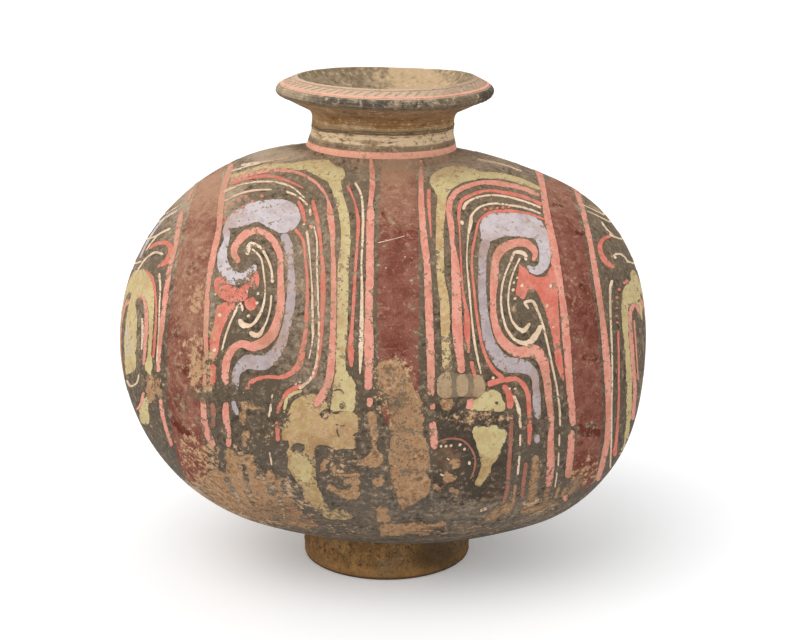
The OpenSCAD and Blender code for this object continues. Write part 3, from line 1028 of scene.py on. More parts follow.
# scrolls right of the middle band; a fill is the outline of a patch, x and y
rightScroll = {
    "green": [[(540, 189, 3), (520, 181, 5.5), (505, 177, 6), (490, 175.5, 6.5), (474, 174.8, 8)]],
    "tanGreen": [
        [(442, 188, 10), (442, 198, 9.5), (441, 210, 9.5), (440, 225, 8), (440, 250, 8.3), (441, 280, 8),
         (444.2, 300, 9.5), (445.7, 340, 9), (447, 362, 9.5), (447, 372, 11)],
    ],
    "flake": [
        [(515.5, 484, 3.5), (512, 503, 5), (505, 514, 7)], [(535.5, 455, 7), (535, 476, 10), (530, 502, 9)],
        [(509, 504, 7), (500, 511, 9), (485, 520, 8)], [(548, 486, 7), (544, 508, 6)],
        [(520, 512, 5), (538, 508, 6), (555, 500, 5)], [(559, 486, 4), (555, 499, 4)],
        [(566, 487, 3.5), (561, 498, 4.5)], [(582, 475, 8), (575, 486, 8), (568, 494, 4)],
    ],
    "dark": [
        [(429, 496, 1.5), (420, 501, 2), (412, 506, 2.5), (405, 509, 2)], [(495, 402, 3), (498, 404, 3)],
        [(483, 377, 1), (486.5, 385, 1.4), (485, 392, 1)],
    ],
    "pink": [
        [(540, 196, 3.5), (522, 188.5, 4.5), (505, 184.5, 5), (487, 182.5, 4.5), (470, 185.5, 4.5),
         (455, 193.5, 5.5), (449.5, 204, 6), (449.5, 214, 6), (451, 225, 6), (452.5, 245, 4.5),
         (455, 263, 8), (456.5, 300, 9.4), (458, 340, 10), (460, 357, 8), (461.5, 373, 7)],
        [(533, 261, 3), (535, 253, 6), (527, 244, 7.5), (512, 244, 8.5), (499, 252.5, 9.5), (495.5, 260, 8),
         (494.5, 275, 8.7), (493, 298, 6.2), (494.7, 322, 7), (502.5, 341, 9.5), (518, 352, 10.5),
         (535, 351.5, 13), (541, 358, 11), (546, 376, 8), (549, 400, 7), (551, 419, 6), (550.5, 440, 6),
         (550.5, 465, 8), (548, 488, 7)],
    ],
    "red": [
        [(429, 189, 3.5), (428.5, 200, 4), (430, 220, 2.5), (431, 238, 1)],
        [(545, 206, 3), (525, 197.5, 3.5), (505, 193, 3.5), (487, 191, 3), (472, 195, 3.5), (461, 202, 4),
         (459, 213, 3.5), (459.5, 228, 1.8), (461, 262, 1.8), (463, 293, 2.5), (466.5, 312, 4.5),
         (467.2, 330, 6.2), (468.5, 353, 2.5)],
        [(471, 361, 4), (475, 377, 3)],
        [(546, 220, 2), (525, 213.2, 2.2), (505, 211.3, 3.5), (488, 213.8, 3), (480, 220, 2.2),
         (475.5, 235, 2.5), (472, 255, 2.4), (474, 290, 2.5), (478.5, 326, 2.8), (483.5, 350, 3),
         (492, 368, 4), (504, 379, 5)],
        [(487, 384.5, 6), (503, 380, 5.5), (518, 380, 5), (526, 389, 5), (529, 408, 4.5), (529.5, 430, 4.5),
         (529, 445, 3)],
        [(503, 385, 5), (508, 392, 6), (510, 400, 7), (509.5, 409, 6)],
    ],
    "white": [
        [(541, 208, 2), (525, 202, 2), (507, 197, 1.8), (490, 195.5, 1.8), (475, 198.5, 2), (465, 205, 3),
         (463.5, 210, 3)],
        [(541, 214, 1.5), (528, 209, 2), (510, 205.5, 1.8), (492, 203.8, 1.8), (478, 208.5, 2),
         (471.5, 216, 2.5), (470.5, 223, 3.6), (468, 238, 1.6), (466.8, 258, 1.2), (469.2, 290, 2),
         (471.3, 314, 1.6), (474.5, 342, 2.4), (481, 374, 1.5)],
        [(461, 221, 3), (463, 225, 3.5)], [(477, 159.5, 2), (500, 164, 1.6), (522, 171.5, 1.2)],
        [(480, 511, 2.5), (487, 507.5, 3)],
        [(526.5, 261, 3.3), (525, 255, 3.5), (516, 252.5, 3.6), (509.5, 264, 2.2), (503.2, 281, 2),
         (501, 299, 2), (502.8, 317, 2.2), (508, 331.5, 2.6), (517, 341, 3.5), (527.5, 343, 5.5),
         (536, 335, 6), (541, 325, 3)],
        [(520, 258, 2), (513.5, 272, 1.8), (508.8, 290, 1.8), (508.8, 309, 1.8), (514, 324, 2.5),
         (523, 331, 4.5), (530, 323, 3)],
        [(528.5, 309, 2), (525, 302.5, 3), (531, 301, 3), (538, 312, 2.5), (545.5, 336, 2.2),
         (551.5, 363, 1.9), (557, 390, 1.9), (559.5, 410, 2.3), (560, 426, 1.8)],
        [(559.3, 434, 1.6), (559, 446, 1.6)], [(558.6, 452, 1.4), (558, 466, 1.6)],
        [(557, 472, 1.4), (554.5, 489, 1.2)], [(513.5, 395, 3), (518, 407, 3.5), (520.5, 428, 2.5)],
        [(520.3, 434, 2), (520, 446, 2)], [(519.5, 455, 2), (517.5, 475, 2.2)],
        [(446, 457.5, 1.6), (450, 460, 1.4)], [(469, 461, 3), (469.5, 465, 2.5)],
        [(440, 474, 1.6), (444, 475.5, 1.6)],
    ],
    "lavender": [
        [(539, 234, 12), (543, 242, 12), (545, 254, 11.5), (542, 267, 10), (535, 271, 8), (527, 266, 3)],
    ],
    "greyLavender": [
        [(487, 240, 10), (483.5, 250, 9), (482.3, 268, 8), (482, 286, 8), (485, 320, 8.8), (491.5, 347, 12),
         (506, 364, 15.5), (523, 366.5, 14), (533, 373, 9), (536, 388, 7), (536.8, 405, 8), (538, 419, 5)],
        [(537, 434, 5), (537, 443, 6)],
    ],
    "fadedRed": [
        [(511, 413, 4), (511, 430, 4.5), (510, 450, 4.2), (508.5, 470, 4.5), (507, 490, 4), (503, 503, 3)],
        [(526, 462, 3.5), (524.5, 476, 4.5), (522, 497, 4)],
        [(437, 442, 1.4), (450, 438.5, 1.8), (462, 440, 1.8), (470, 447, 2), (475, 458, 2), (474, 470, 2),
         (470, 479, 1.4)],
    ],
    "fills": {
        "lavender": [
            [(481, 238), (480.5, 223), (486, 215), (497, 211.5), (512, 211), (527, 213.5), (539, 219.5),
             (546, 229), (548, 238), (541, 241), (530, 238), (515, 236.5), (501, 237.5), (492, 241),
             (486, 243)],
        ],
        "wash": [
            [(437, 384), (438.5, 377), (444, 372), (460, 374), (478, 375), (484, 378), (485.5, 386),
             (483, 395), (475, 397.5), (462, 396.5), (447, 398), (440, 397)],
        ],
        "soot": [
            [(437, 402), (455, 398), (470, 412), (490, 413), (507, 414), (514, 430), (513, 455), (508, 480),
             (500, 497), (486, 503), (468, 498), (450, 500), (436, 496), (433, 478), (436, 455), (438, 436),
             (434, 418)],
        ],
        "clawGreen": [
            [(478, 450), (486, 455), (501, 450), (497, 459), (492, 465), (490, 473), (485, 480), (479, 486),
             (475, 484), (478, 476), (481, 466), (480, 458)],
        ],
        "red": [
            [(519, 264), (526.5, 270), (531, 275), (538, 277.5), (545, 276.5), (552, 266), (556, 266),
             (558, 300), (560, 340), (562.5, 380), (557.5, 370), (553.5, 345), (548, 320), (541.5, 302),
             (534, 290), (529, 290), (523.5, 299.5), (516, 293), (518, 280)],
        ],
        "pink": [
            [(467, 400), (473, 399), (474, 404), (471, 409), (467, 408)],
            [(549, 236), (553, 240), (557, 262), (555, 268), (551.5, 264), (551.5, 250)],
        ],
        "green": [
            [(480, 171), (465, 167), (450, 166.5), (438, 170.5), (430.5, 178), (430, 184), (434, 189),
             (437, 196), (446, 198), (449, 193), (455, 187), (466, 181.5), (478, 178.5)],
            [(474, 400), (480, 397), (484, 392), (488, 390.5), (497, 390.5), (500, 393), (503, 400),
             (505, 409), (502, 411.5), (490, 410.5), (478, 412), (471, 411.5)],
            [(472, 432), (474, 427), (481, 426), (487, 427), (492, 424.5), (497, 425.5), (501, 429),
             (507, 431), (506, 438), (502, 447), (497, 456), (492, 459), (486, 456), (480, 453), (475, 440)],
        ],
        "muted": [
            [(436.5, 384), (438.5, 377), (443, 372.5), (448, 371.5), (451, 376), (451.5, 386), (450.5, 396),
             (446, 398.5), (440, 397.5), (437, 391)],
            [(456.5, 379), (459, 375), (465, 374.5), (468, 379), (468, 388), (466.5, 394), (462, 396.5),
             (458, 395), (456.5, 388)],
            [(473, 378), (477, 375), (482, 376), (485, 383), (485, 390), (482, 395), (477, 397.5),
             (473, 395), (474, 387)],
        ],
    },
}

# scrolls left of the middle band
leftScroll = {
    "green": [
        [(230, 177.5, 3), (245, 172.8, 4), (265, 167.3, 5.5), (294, 165.8, 5.5)],
        [(302, 390.5, 2.5), (292, 394, 3.5), (287, 399, 3.5), (285, 406, 3), (284, 413, 2.5)],
        [(336, 184, 9.5), (338, 194, 9.5), (343.5, 213, 9.5), (345.8, 240, 9.5), (343.5, 265, 11),
         (342.8, 300, 11), (342, 335, 10.5), (340.5, 360, 9.5), (341, 374, 11)],
    ],
    "dark": [
        [(333.5, 391, 1.4), (337, 389.5, 1.8), (341, 390, 1.8), (344, 394, 1)],
        [(335.5, 424, 1.2), (341, 426, 1.4), (345, 425, 1)],
        [(337, 427, 1), (337.5, 433, 1.4), (339.5, 437, 1)],
        [(225, 477, 4), (231, 487, 5), (238, 498, 4), (243, 508, 3)],
        [(243, 463, 4), (246, 478, 4.5), (249, 490, 4), (251, 503, 3)],
        [(278, 496, 2.5), (282, 506, 3), (285, 518, 2)], [(331, 412, 2), (336, 413, 2), (341, 411, 1)],
    ],
    "pink": [
        [(231, 181, 3.5), (252, 173.8, 4), (278, 170.2, 3.8), (302, 174.5, 2.6), (320, 187, 3),
         (328, 200, 2.4), (330, 213, 6.5), (332.5, 232, 5.5), (333, 250, 4.5), (333.6, 276, 5.5),
         (333.2, 325, 6.2), (331.5, 359, 7.5), (329, 380, 8), (323, 394, 8.5), (317, 404, 8.5),
         (315, 407, 7)],
        [(239, 263, 6), (234, 253, 6.5), (241.5, 238, 8), (257, 230.5, 6.5), (272, 239.5, 7),
         (280, 255, 6.5), (280.5, 275, 6), (281, 297, 8), (278.5, 318, 8.5), (270, 337, 10.5),
         (254, 346.5, 10), (240, 344, 7), (230.5, 352, 8), (225.5, 370, 7.5), (226.5, 390, 6.5)],
        [(226, 402, 5.5), (226, 415, 6.5), (228, 430, 6), (229, 447, 5)], [(309, 226, 3), (313, 228, 3)],
    ],
    "red": [
        [(347, 185, 3.5), (354, 200, 1.6), (357.5, 216, 3.5), (357, 248, 3), (355.5, 266, 3),
         (354, 297, 3.5), (352.3, 325, 3.6), (351, 355, 6.3), (351.5, 367, 3)],
        [(230, 184, 3), (250, 178, 3), (270, 176.5, 3.5), (290, 182, 2.5), (304, 188.5, 1)],
        [(312.5, 200, 3), (316, 214, 4), (319, 230, 4), (321, 246, 2.8), (323, 276, 5), (322.5, 315, 4.5),
         (320.5, 346, 3), (318, 362, 3.5), (312.5, 379, 4.5)],
        [(298, 201, 3), (302, 209, 4), (305, 223, 3)],
        [(295, 229, 3.5), (302.5, 239, 3), (305, 256, 2.6), (307.4, 281, 3.2), (307, 308, 4),
         (303.6, 346, 5.4), (297, 368, 7), (284, 376.5, 4.5), (265, 377, 3.5), (252, 381.5, 5),
         (245.5, 390, 5)],
        [(303, 385, 4), (288, 392, 4.5), (280, 405, 4), (278, 414, 4)],
        [(277, 421, 4), (277.5, 430, 4.5), (278, 441, 4)], [(213, 364, 6), (213, 384, 5), (213, 391, 4)],
    ],
    "fadedRed": [[(212.5, 401, 4), (213.5, 412, 5), (213.5, 427, 4)]],
    "white": [
        [(355, 182.5, 2.5), (360.5, 193, 2.2), (363, 215, 2.6), (362.5, 240, 2.5), (361.5, 262, 1.9),
         (362, 290, 2.7), (361.5, 325, 4), (361, 347, 4.6), (360, 374, 1.5)],
        [(223, 192.5, 2.5), (238, 186, 1.8), (258, 182, 1.8), (276, 182.5, 1.8), (292, 187.5, 1.8),
         (305, 198.5, 1.2)],
        [(224, 201.5, 2), (240, 194, 1.8), (258, 190.2, 1.8), (272, 189.8, 1.2)],
        [(286, 191.5, 2), (300, 198, 2), (308, 205.5, 1.8)], [(310, 209, 2.5), (310.5, 216, 2.5)],
        [(307, 231, 3), (309, 248, 2), (311, 272, 1.3), (312.5, 297, 2.2), (312.5, 319, 3), (313, 337, 2.3),
         (309, 359, 1.2)],
        [(314, 226, 1.5), (316.8, 240, 1.8), (317, 262, 1.8), (318, 297, 2), (318.3, 346, 2.2),
         (315.5, 367, 2.5), (309.5, 380, 3), (299, 388.5, 4)],
        [(289, 158, 1.5), (270, 161, 1.3), (250, 164, 2.3), (241, 165.7, 2)],
        [(262, 162.5, 1.5), (246, 167, 1.5), (231, 171.5, 1.5)],
        [(247, 255, 4.5), (251, 244.5, 4.5), (259, 246.5, 3), (267, 258, 2.4), (271.5, 270, 2.2),
         (272.5, 283, 3.2)],
        [(271.5, 295, 2), (270, 310, 1.6), (265, 325, 2), (257, 335.5, 5), (249.5, 332, 4)],
        [(252, 249, 2), (259.5, 256, 2), (264, 275, 1.8), (265, 296, 1.7), (259.5, 315, 3),
         (250, 325.5, 3.5), (243, 325, 6), (239.5, 319, 3.5)],
        [(243, 311.5, 2), (240.5, 304.5, 4), (233.5, 316, 2), (227, 332, 2), (221.8, 351, 1.6)],
        [(272.5, 394, 2), (271, 407, 2.8), (269, 417, 1.8)], [(269.5, 452, 1.6), (272, 465, 1.6)],
        [(378, 243, 0.7), (398, 238, 0.7), (405, 236, 0.7)],
    ],
    "lavender": [
        [(226, 229, 9), (227, 237, 6), (222.5, 254, 9), (223.5, 266, 12), (234, 278, 14), (245, 277, 10),
         (253, 269, 8), (256, 265, 5)],
    ],
    "greyLavender": [
        [(283, 234, 8), (288, 245, 9), (290.5, 265, 6.5), (291.5, 285, 8.5), (290, 308, 9), (286, 328, 8.5),
         (279, 348, 11), (264, 362.5, 14.5), (246.5, 362.5, 14), (237.5, 371, 9), (235.3, 391, 7)],
        [(233, 400, 4), (235, 408, 5), (238, 415, 4)],
    ],
    "fills": {
        "lavender": [
            [(223, 231), (227, 219), (238, 209), (254, 202), (268, 200), (281, 199.5), (291, 202),
             (298, 208), (300.5, 217), (297, 226), (288, 232), (280, 233), (268, 227), (257, 222),
             (243, 227), (231, 228)],
        ],
        "red": [
            [(214, 281), (220, 276), (231, 285.5), (238, 288), (251, 277), (256, 271), (259, 276),
             (256, 290), (250, 287), (247, 298), (245, 300), (230, 302), (215, 291)],
            [(245, 300), (254, 298), (257, 303), (252, 311.5), (245, 306)],
            [(217, 306), (222, 303), (236, 303.5), (228, 318), (221, 335), (217, 355), (214, 360),
             (210, 345), (215, 320)],
        ],
        "green": [
            [(290, 163.5), (305, 160.8), (318, 160), (328, 160.5), (332, 163.5), (336, 166.5), (341, 168),
             (345, 172), (345, 177), (341, 181.5), (342, 190), (333, 190), (328, 182.5), (318, 176.5),
             (305, 170.5), (290, 168)],
            [(333.5, 381), (336.5, 372), (345.5, 370), (350, 376), (354.5, 382), (355.5, 395), (355.5, 403),
             (353, 411), (345, 411.5), (338, 411), (331.5, 411), (331.5, 402), (332.5, 392)],
            [(290, 456), (298, 453), (304, 456), (309, 460), (312, 468), (311, 477), (306, 482), (300, 480),
             (295, 474), (291, 468)],
        ],
        "clawGreen": [
            [(289, 410), (293, 402), (299, 397.5), (306, 394.8), (313, 394), (320, 396), (327, 402),
             (331, 411), (338, 411.5), (346, 412), (353.5, 412), (357, 416), (358.5, 425), (357.5, 432),
             (353.5, 434), (355, 441), (356, 447), (350, 449), (343, 448.5), (335, 449.5), (329, 446.5),
             (322, 444.5), (316.5, 446), (314.5, 451), (316, 462), (315.5, 472), (316.5, 480), (318, 487),
             (321, 492), (322.5, 497), (326.5, 503), (331, 508), (337, 509.5), (344, 509.5), (350.5, 513),
             (353.5, 516), (348, 519.5), (340, 519.5), (332, 519), (326, 518), (320, 513), (314, 508),
             (309, 503), (304, 497), (302, 491), (300, 486), (296, 480), (291, 473), (288, 467), (288, 458),
             (286.5, 452), (289.5, 446), (288, 441), (283, 440), (281.5, 433), (283, 425), (287, 418)],
        ],
        "dark": [
            [(290, 449), (293, 444.5), (300, 443), (304, 445), (304, 450), (300, 452.5), (297, 449),
             (294, 452)],
            [(319.5, 414), (322, 411), (329, 408.5), (331.5, 412), (329, 416), (326, 419.5), (321.5, 418)],
            [(339, 405), (341, 403), (344.5, 404.5), (344, 407.5), (341, 408.5)],
            [(267, 484), (271, 481), (276, 484), (277, 491), (273, 496), (268, 494), (266, 489)],
            [(281, 481), (288, 479), (297, 483), (303, 489), (301, 496), (292, 496), (283, 494), (280, 488)],
            [(297, 498), (305, 499), (313, 506), (320, 514), (322, 521), (312, 516), (304, 509)],
        ],
    },
}

# places where the ground has flaked to the tan clay
losses = {
    "fills": {
        "flake": [
            [(378, 363), (388, 359.5), (398, 359), (403, 366), (406, 375), (411, 381), (414, 390),
             (420, 396), (423, 405), (424, 415), (424, 425), (423, 435), (427, 441), (429, 450),
             (429.5, 462), (429, 470), (425, 472), (428, 476), (430, 482), (429.5, 491), (427, 496),
             (418, 501), (410, 506), (403, 509), (398, 503), (396, 494), (393, 486), (391, 478), (390, 470),
             (389, 462), (388, 454), (390, 447), (390, 440), (391, 432), (389, 425), (390, 415), (388, 405),
             (384, 397), (379, 389), (377, 378), (376, 369)],
            [(376, 508), (381, 506), (389, 509), (388, 514), (391, 519), (389, 522), (378, 521), (376, 515)],
            [(378, 526), (390, 523), (405, 524), (415, 522), (425, 523), (433, 524), (444, 521), (447, 523),
             (443, 526), (433, 529), (430, 533), (410, 534), (390, 536), (380, 535)],
            [(368, 412), (374, 410), (377, 420), (379, 432), (376.5, 441), (378, 449), (383, 455),
             (382, 463), (378, 467), (368, 467), (358, 466), (351, 461), (359, 459), (365, 457), (371, 451),
             (372, 440), (369, 430), (367, 420)],
            [(371, 481), (376, 477.5), (382, 477), (385, 480), (383, 485), (376, 486)],
            [(320, 466), (324, 459), (328, 457), (330, 460), (327, 465), (329, 470), (325, 472), (321, 470)],
            [(330, 468), (335, 466), (337, 471), (343, 474), (352, 473), (358, 471), (361, 473), (360, 476),
             (352, 477), (345, 477), (337, 477), (331, 474)],
            [(343, 480), (350, 478), (358, 478), (361, 483), (357, 486), (350, 484.5), (343, 484)],
            [(326, 485), (330, 483.5), (335, 487), (342, 489), (350, 488), (355, 484), (359, 489),
             (360, 495), (354, 500), (346, 499), (339, 496), (333, 493), (328, 489)],
            [(203, 487), (209, 472), (218, 469), (225, 474), (226, 462), (224, 450), (230, 447), (238, 455),
             (252, 454), (256, 466), (258, 478), (266, 480), (268, 470), (273, 470), (276, 480), (282, 476),
             (286, 480), (283, 497), (292, 498), (300, 508), (312, 519), (318, 525), (300, 526), (275, 521),
             (250, 516), (228, 508), (212, 498)],
            [(240, 402), (250, 399), (256, 403), (262, 408), (255, 410), (247, 410), (246, 416), (244, 425),
             (241, 423), (239, 415), (243, 409)],
            [(240, 436), (245, 430), (250, 431), (248, 440), (246, 448), (241, 444)],
            [(438, 400), (445, 399.5), (453, 400), (455, 403), (451, 408), (449, 413), (444, 409.5),
             (440, 405)],
            [(450, 461), (455, 458), (460, 461), (460, 466), (456, 469), (450, 466)],
            [(443, 476), (447, 470), (452, 474), (457, 477), (452, 482), (447, 483), (443, 481)],
            [(447, 490), (453, 486), (459, 492), (460, 496), (453, 494)],
            [(432, 484), (437, 482), (440, 487), (441, 490), (434, 489)],
            [(154, 380), (157, 376), (160, 386), (163, 396), (160, 398), (157, 392)],
            [(147, 374), (152, 372), (154, 385), (153, 402), (149, 404), (147, 392)],
        ],
    },
}

# white dots and flecks: x, y, size
dots = [
    (493, 378, 4), (509.5, 388.5, 3.5), (515, 389, 3.5), (517, 278, 3), (513.5, 283, 3.5), (513, 290, 4),
    (515, 298.5, 3.5), (522, 285.5, 4), (551, 286, 4.5), (547, 306, 4.5), (553, 327, 3), (441, 446, 3.2),
    (446, 446, 3.6), (451, 445.5, 3.6), (460, 444.5, 4), (464.5, 449, 3.4), (215, 294, 4.5),
    (247.5, 291, 4.5), (258, 293.5, 4.5), (257, 303, 4), (220, 315, 5), (248.5, 316, 4), (214.5, 350, 4.5),
    (304, 225, 4), (396, 186, 1.8), (405, 213, 1.8), (413, 223, 1.6), (414, 210, 1.5), (405, 257, 1.8),
    (412, 258, 1.6), (386, 268, 1.8), (386, 240, 1.4), (392, 312, 1.5), (410, 330, 1.4), (300, 382, 3),
    (314, 372, 2.4), (244, 392, 2.6), (296, 384, 2.6),
]

# the outer panels beside the tips
leftTip = {
    "lavender": [
        [(178, 210, 2), (165, 218, 2), (155, 230, 2), (147, 243, 2), (140, 258, 1.5)],
        [(127.5, 328, 3), (129.5, 340, 4), (128.5, 355, 3)],
    ],
    "white": [
        [(171, 228.5, 2.5), (160, 234, 1.5), (150, 245, 1.2), (146, 251, 1)],
        [(163.5, 254.5, 3), (156, 252.5, 2), (147, 258, 1.6), (139, 269, 1.3), (137, 273, 1.2)],
        [(159, 273, 3), (160.5, 286, 1.8), (160, 301, 1.5), (159, 330, 1.3), (157, 362, 1.2)],
        [(142.5, 318, 2), (143, 330, 2.2), (142, 350, 2)],
        [(127, 380, 1.5), (131, 386, 2), (136, 384, 1.8), (139.5, 374, 1.2)],
    ],
    "red": [
        [(149, 249, 2), (158, 243.5, 4), (168, 244, 5), (171.5, 251, 6), (169, 258, 5.5), (160, 266, 3.5),
         (157, 267, 2)],
        [(146, 270, 2), (152.5, 278, 3), (155, 290, 2.5), (156.5, 305, 2), (155.5, 330, 2.5),
         (153.5, 358, 2)],
    ],
    "pink": [
        [(138, 298, 2), (142, 297, 3), (146, 308, 3.5), (146.5, 325, 4), (145, 352, 3), (144, 365, 2)],
        [(144, 392, 2.5), (140, 406, 2.5), (137, 410, 2)],
    ],
    "fills": {
        "green": [
            [(126, 375), (124.5, 345), (126.5, 320), (130, 300), (135, 280), (139, 271), (143, 269.5),
             (147, 272), (152.5, 283), (154.5, 300), (153.5, 320), (151.5, 350), (149.5, 374), (147, 372),
             (148.5, 350), (149, 325), (148, 308), (145, 300), (140, 297), (136, 301), (137, 312),
             (137, 330), (136, 350), (133, 372)],
            [(142, 400), (147, 397), (148.5, 410), (148, 424), (143, 424), (139.5, 414)],
        ],
    },
}
rightTip = {
    "white": [
        [(601, 222, 1.5), (607, 230, 1.5), (615, 238, 1.8)],
        [(615.5, 259, 3), (614, 255.5, 2.2), (619, 254, 2), (624, 257, 1.6), (628, 263, 1.3)],
        [(612, 280, 2.5), (610.5, 286, 2.5), (610, 300, 2), (610.5, 320, 1.8), (611.5, 345, 1.6),
         (612, 375, 1.5), (611.5, 400, 1.4), (611, 440, 1.6), (610, 468, 1.4)],
    ],
    "muted": [[(588, 205, 1.5), (597, 209.5, 1.6), (604, 216, 1.2)]],
    "red": [
        [(611, 236.5, 2), (605, 238, 3.5), (600, 245, 4.5), (601, 254, 5), (606, 262, 5.5), (614, 268, 3.5)],
        [(628, 280, 3), (623, 284, 3.5)], [(620, 288, 2.5), (618, 291, 2.5)],
        [(617.5, 296, 3), (616.5, 299, 3)], [(616.5, 307, 4.5), (616.5, 309, 4)],
        [(616, 315, 5), (616.5, 317, 5)], [(617, 321.5, 3.5), (617.2, 323.5, 3)],
        [(618, 330, 2), (618.5, 360, 2), (618.5, 400, 2.2), (617, 430, 2.8), (614, 456, 4)],
    ],
    "pink": [
        [(638.5, 313, 2.5), (637, 307, 3.5), (633.5, 305.5, 4), (630.5, 311, 4), (630.5, 330, 4),
         (632.5, 360, 4), (634.5, 385, 4), (632.5, 420, 3.5)],
        [(634, 320, 1.8), (636, 350, 1.5), (638, 380, 1.2)],
    ],
    "fills": {
        "green": [
            [(633, 278), (637, 284), (640.5, 295), (642, 308), (641.5, 320), (640, 316), (637.5, 306),
             (633, 303), (628.5, 307), (627.5, 318), (629, 345), (631.5, 375), (631.5, 400), (629, 430),
             (625, 452), (621.5, 456), (624, 440), (626.5, 410), (626.5, 385), (624.5, 350), (622, 320),
             (621.5, 303), (624, 288)],
        ],
    },
}

# red dabs beside the scrolls: first and last dab, count, length, width
dabs = [
    ((485, 209.5), (509, 207), 5, 3.5, 2.6),
    ((226, 208), (246, 197), 4, 4, 3.6),
    ((225, 218), (262, 196), 5, 3.5, 3),
]

# the tips, hidden from the photo: y, z and width in mm, the same at both ends and mirrored
endScroll = {
    "white": [
        [(-22, 212.5, 1.2), (-15, 207.5, 1.1), (-8, 204, 1), (1, 203, 1)],
        [(-26, 209.5, 1.2), (-17, 203.5, 1.1), (-9, 200, 1), (1, 199, 1)],
        [(-30, 197, 1.3), (-20, 193, 1.1), (-10, 190.5, 1), (1, 190, 1)],
        [(-30, 182, 1.2), (-16, 177.8, 1.1), (1, 177, 1)],
    ],
    "green": [
        [(-40, 170, 11), (-30, 171, 12), (-21, 163, 11), (-19, 145, 10), (-21, 122, 8), (-25, 106, 4)],
    ],
    "pink": [
        [(-37, 160, 3), (-31, 159, 4), (-28, 150, 4), (-28, 132, 3.5), (-30, 116, 2)],
        [(-8, 172, 2), (-7.5, 150, 2.4), (-8, 125, 2.2), (-11, 102, 1.4)],
    ],
    "lavender": [[(0.5, 160, 5), (0.5, 148, 6), (0.5, 132, 6), (0.5, 118, 4)]],
    "dot": [
        [(-13, 160, 1.2), (-13, 158, 1.6)], [(-13.5, 150, 1.2), (-13.5, 148, 1.6)],
        [(-13.5, 140, 1.2), (-13.5, 138, 1.6)],
    ],
}


def paintSet(strokes, surface):
    for paint, lines in strokes.items():
        if paint == "fills":
            continue
        for points in lines:
            layOn(brushStroke(paints[paint], points), surface, lifts[paint] * mm)
    for paint, outlines in strokes.get("fills", {}).items():
        ragged = brush["flaked"] if paint == "flake" else brush["filled"]
        for outline in outlines:
            layOn(brushFill(paints[paint], outline, ragged), surface, lifts[paint] * mm - brush["under"])


def paintDabs():
    for first, last, count, length, width in dabs:
        reach = Vector(brush["dabTilt"]) * length / 2
        for i in range(count):
            spot = Vector(first).lerp(Vector(last), i / (count - 1))
            places = (spot - reach, spot, spot + reach)
            points = [(*place, width * share) for place, share in zip(places, brush["dabWidths"])]
            layOn(brushStroke(paints["red"], points), onFront, lifts["red"] * mm)


def paintDots():
    for x, y, size in dots:
        reach = size / 4
        points = [(x - reach, y - reach, size), (x + reach, y + reach, size)]
        layOn(brushStroke(paints["dot"], points), onFront, lifts["dot"] * mm)


for strokes in (bands, rightScroll, leftScroll, leftTip, rightTip, losses):
    paintSet(strokes, onFront)
paintDabs()
paintDots()
for side in (-1, 1):
    paintSet(endScroll, onEnd(side))
print("brush work laid on the body")

# paints: material, light tone, deep tone, how far it is worn
paintTones = {
    "blot": ("deepMaroonPaint", (114, 52, 40), (98, 40, 30), 0.1),
    "pink": ("pinkPaint", (238, 168, 148), (220, 142, 122), 0),
    "red": ("redPaint", (230, 140, 122), (214, 114, 96), 0),
    "soot": ("sootySlipPaint", (88, 77, 65), (72, 63, 54), 0.08),
    "fadedRed": ("fadedRedPaint", (186, 124, 104), (160, 104, 88), 0.1),
    "wash": ("greyGreenWash", (142, 126, 102), (122, 108, 88), 0.06),
    "green": ("greenPaint", (216, 199, 148), (202, 179, 128), 0),
    "tanGreen": ("wornGreenPaint", (216, 192, 142), (196, 160, 114), 0.09),
    "clawGreen": ("ochreGreenPaint", (207, 180, 130), (180, 146, 102), 0.09),
    "muted": ("mutedGreenPaint", (188, 161, 127), (164, 139, 109), 0.02),
    "lavender": ("lavenderPaint", (213, 201, 202), (195, 182, 183), 0),
    "greyLavender": ("greyLavenderPaint", (194, 180, 181), (175, 160, 160), 0),
    "white": ("whitePaint", (246, 222, 194), (230, 197, 165), 0),
    "ring": ("collarRingPaint", (252, 184, 158), (242, 168, 144), -0.2),
    "hatch": ("lipHatchPaint", (212, 178, 153), (204, 168, 144), -0.05),
}
# the dark slip finish colours both the dark slip strokes and the painted shade lines in the neck's grooves
finishes = {"maroon": maroonMaterial(), "flake": flakeMaterial(), "dark": slipMaterial("darkSlipAndGrooveShade")}
for paint, (name, light, deep, wear) in paintTones.items():
    finishes[paint] = paintMaterial(name, rgb(*light), rgb(*deep), wear)
finishes["dot"] = finishes["white"]


def closeSlab(name, bm, material, slotName, outward):
    bm.normal_update()
    inwards = [f for f in bm.faces if f.normal.dot(outward(f.calc_center_median())) < 0]
    bmesh.ops.reverse_faces(bm, faces=inwards)
    bm.normal_update()
    bmesh.ops.solidify(bm, geom=bm.faces[:], thickness=brush["depth"])
    markWear(bm)
    addPiece(name, bm, material, slotName)


def fromBody(point):
    return point - seamAt


def finishPaint(paint):
    bm = paints[paint]
    bmesh.ops.bisect_plane(bm, geom=bm.verts[:] + bm.edges[:] + bm.faces[:], dist=sliver,
                           plane_co=(0, 0, 0), plane_no=(0, 1, 0), clear_outer=True)
    bmesh.ops.mirror(bm, geom=bm.verts[:] + bm.edges[:] + bm.faces[:], axis="Y", merge_dist=weld)
    bmesh.ops.dissolve_degenerate(bm, edges=bm.edges[:], dist=2 * sliver)
    loose = [v for v in bm.verts if not v.link_faces]
    bmesh.ops.delete(bm, geom=loose, context="VERTS")
    closeSlab(paint + "Strokes", bm, finishes[paint], "painted_body", fromBody)


for paint in paints:
    finishPaint(paint)
print("brush work finished:", ", ".join(paints))
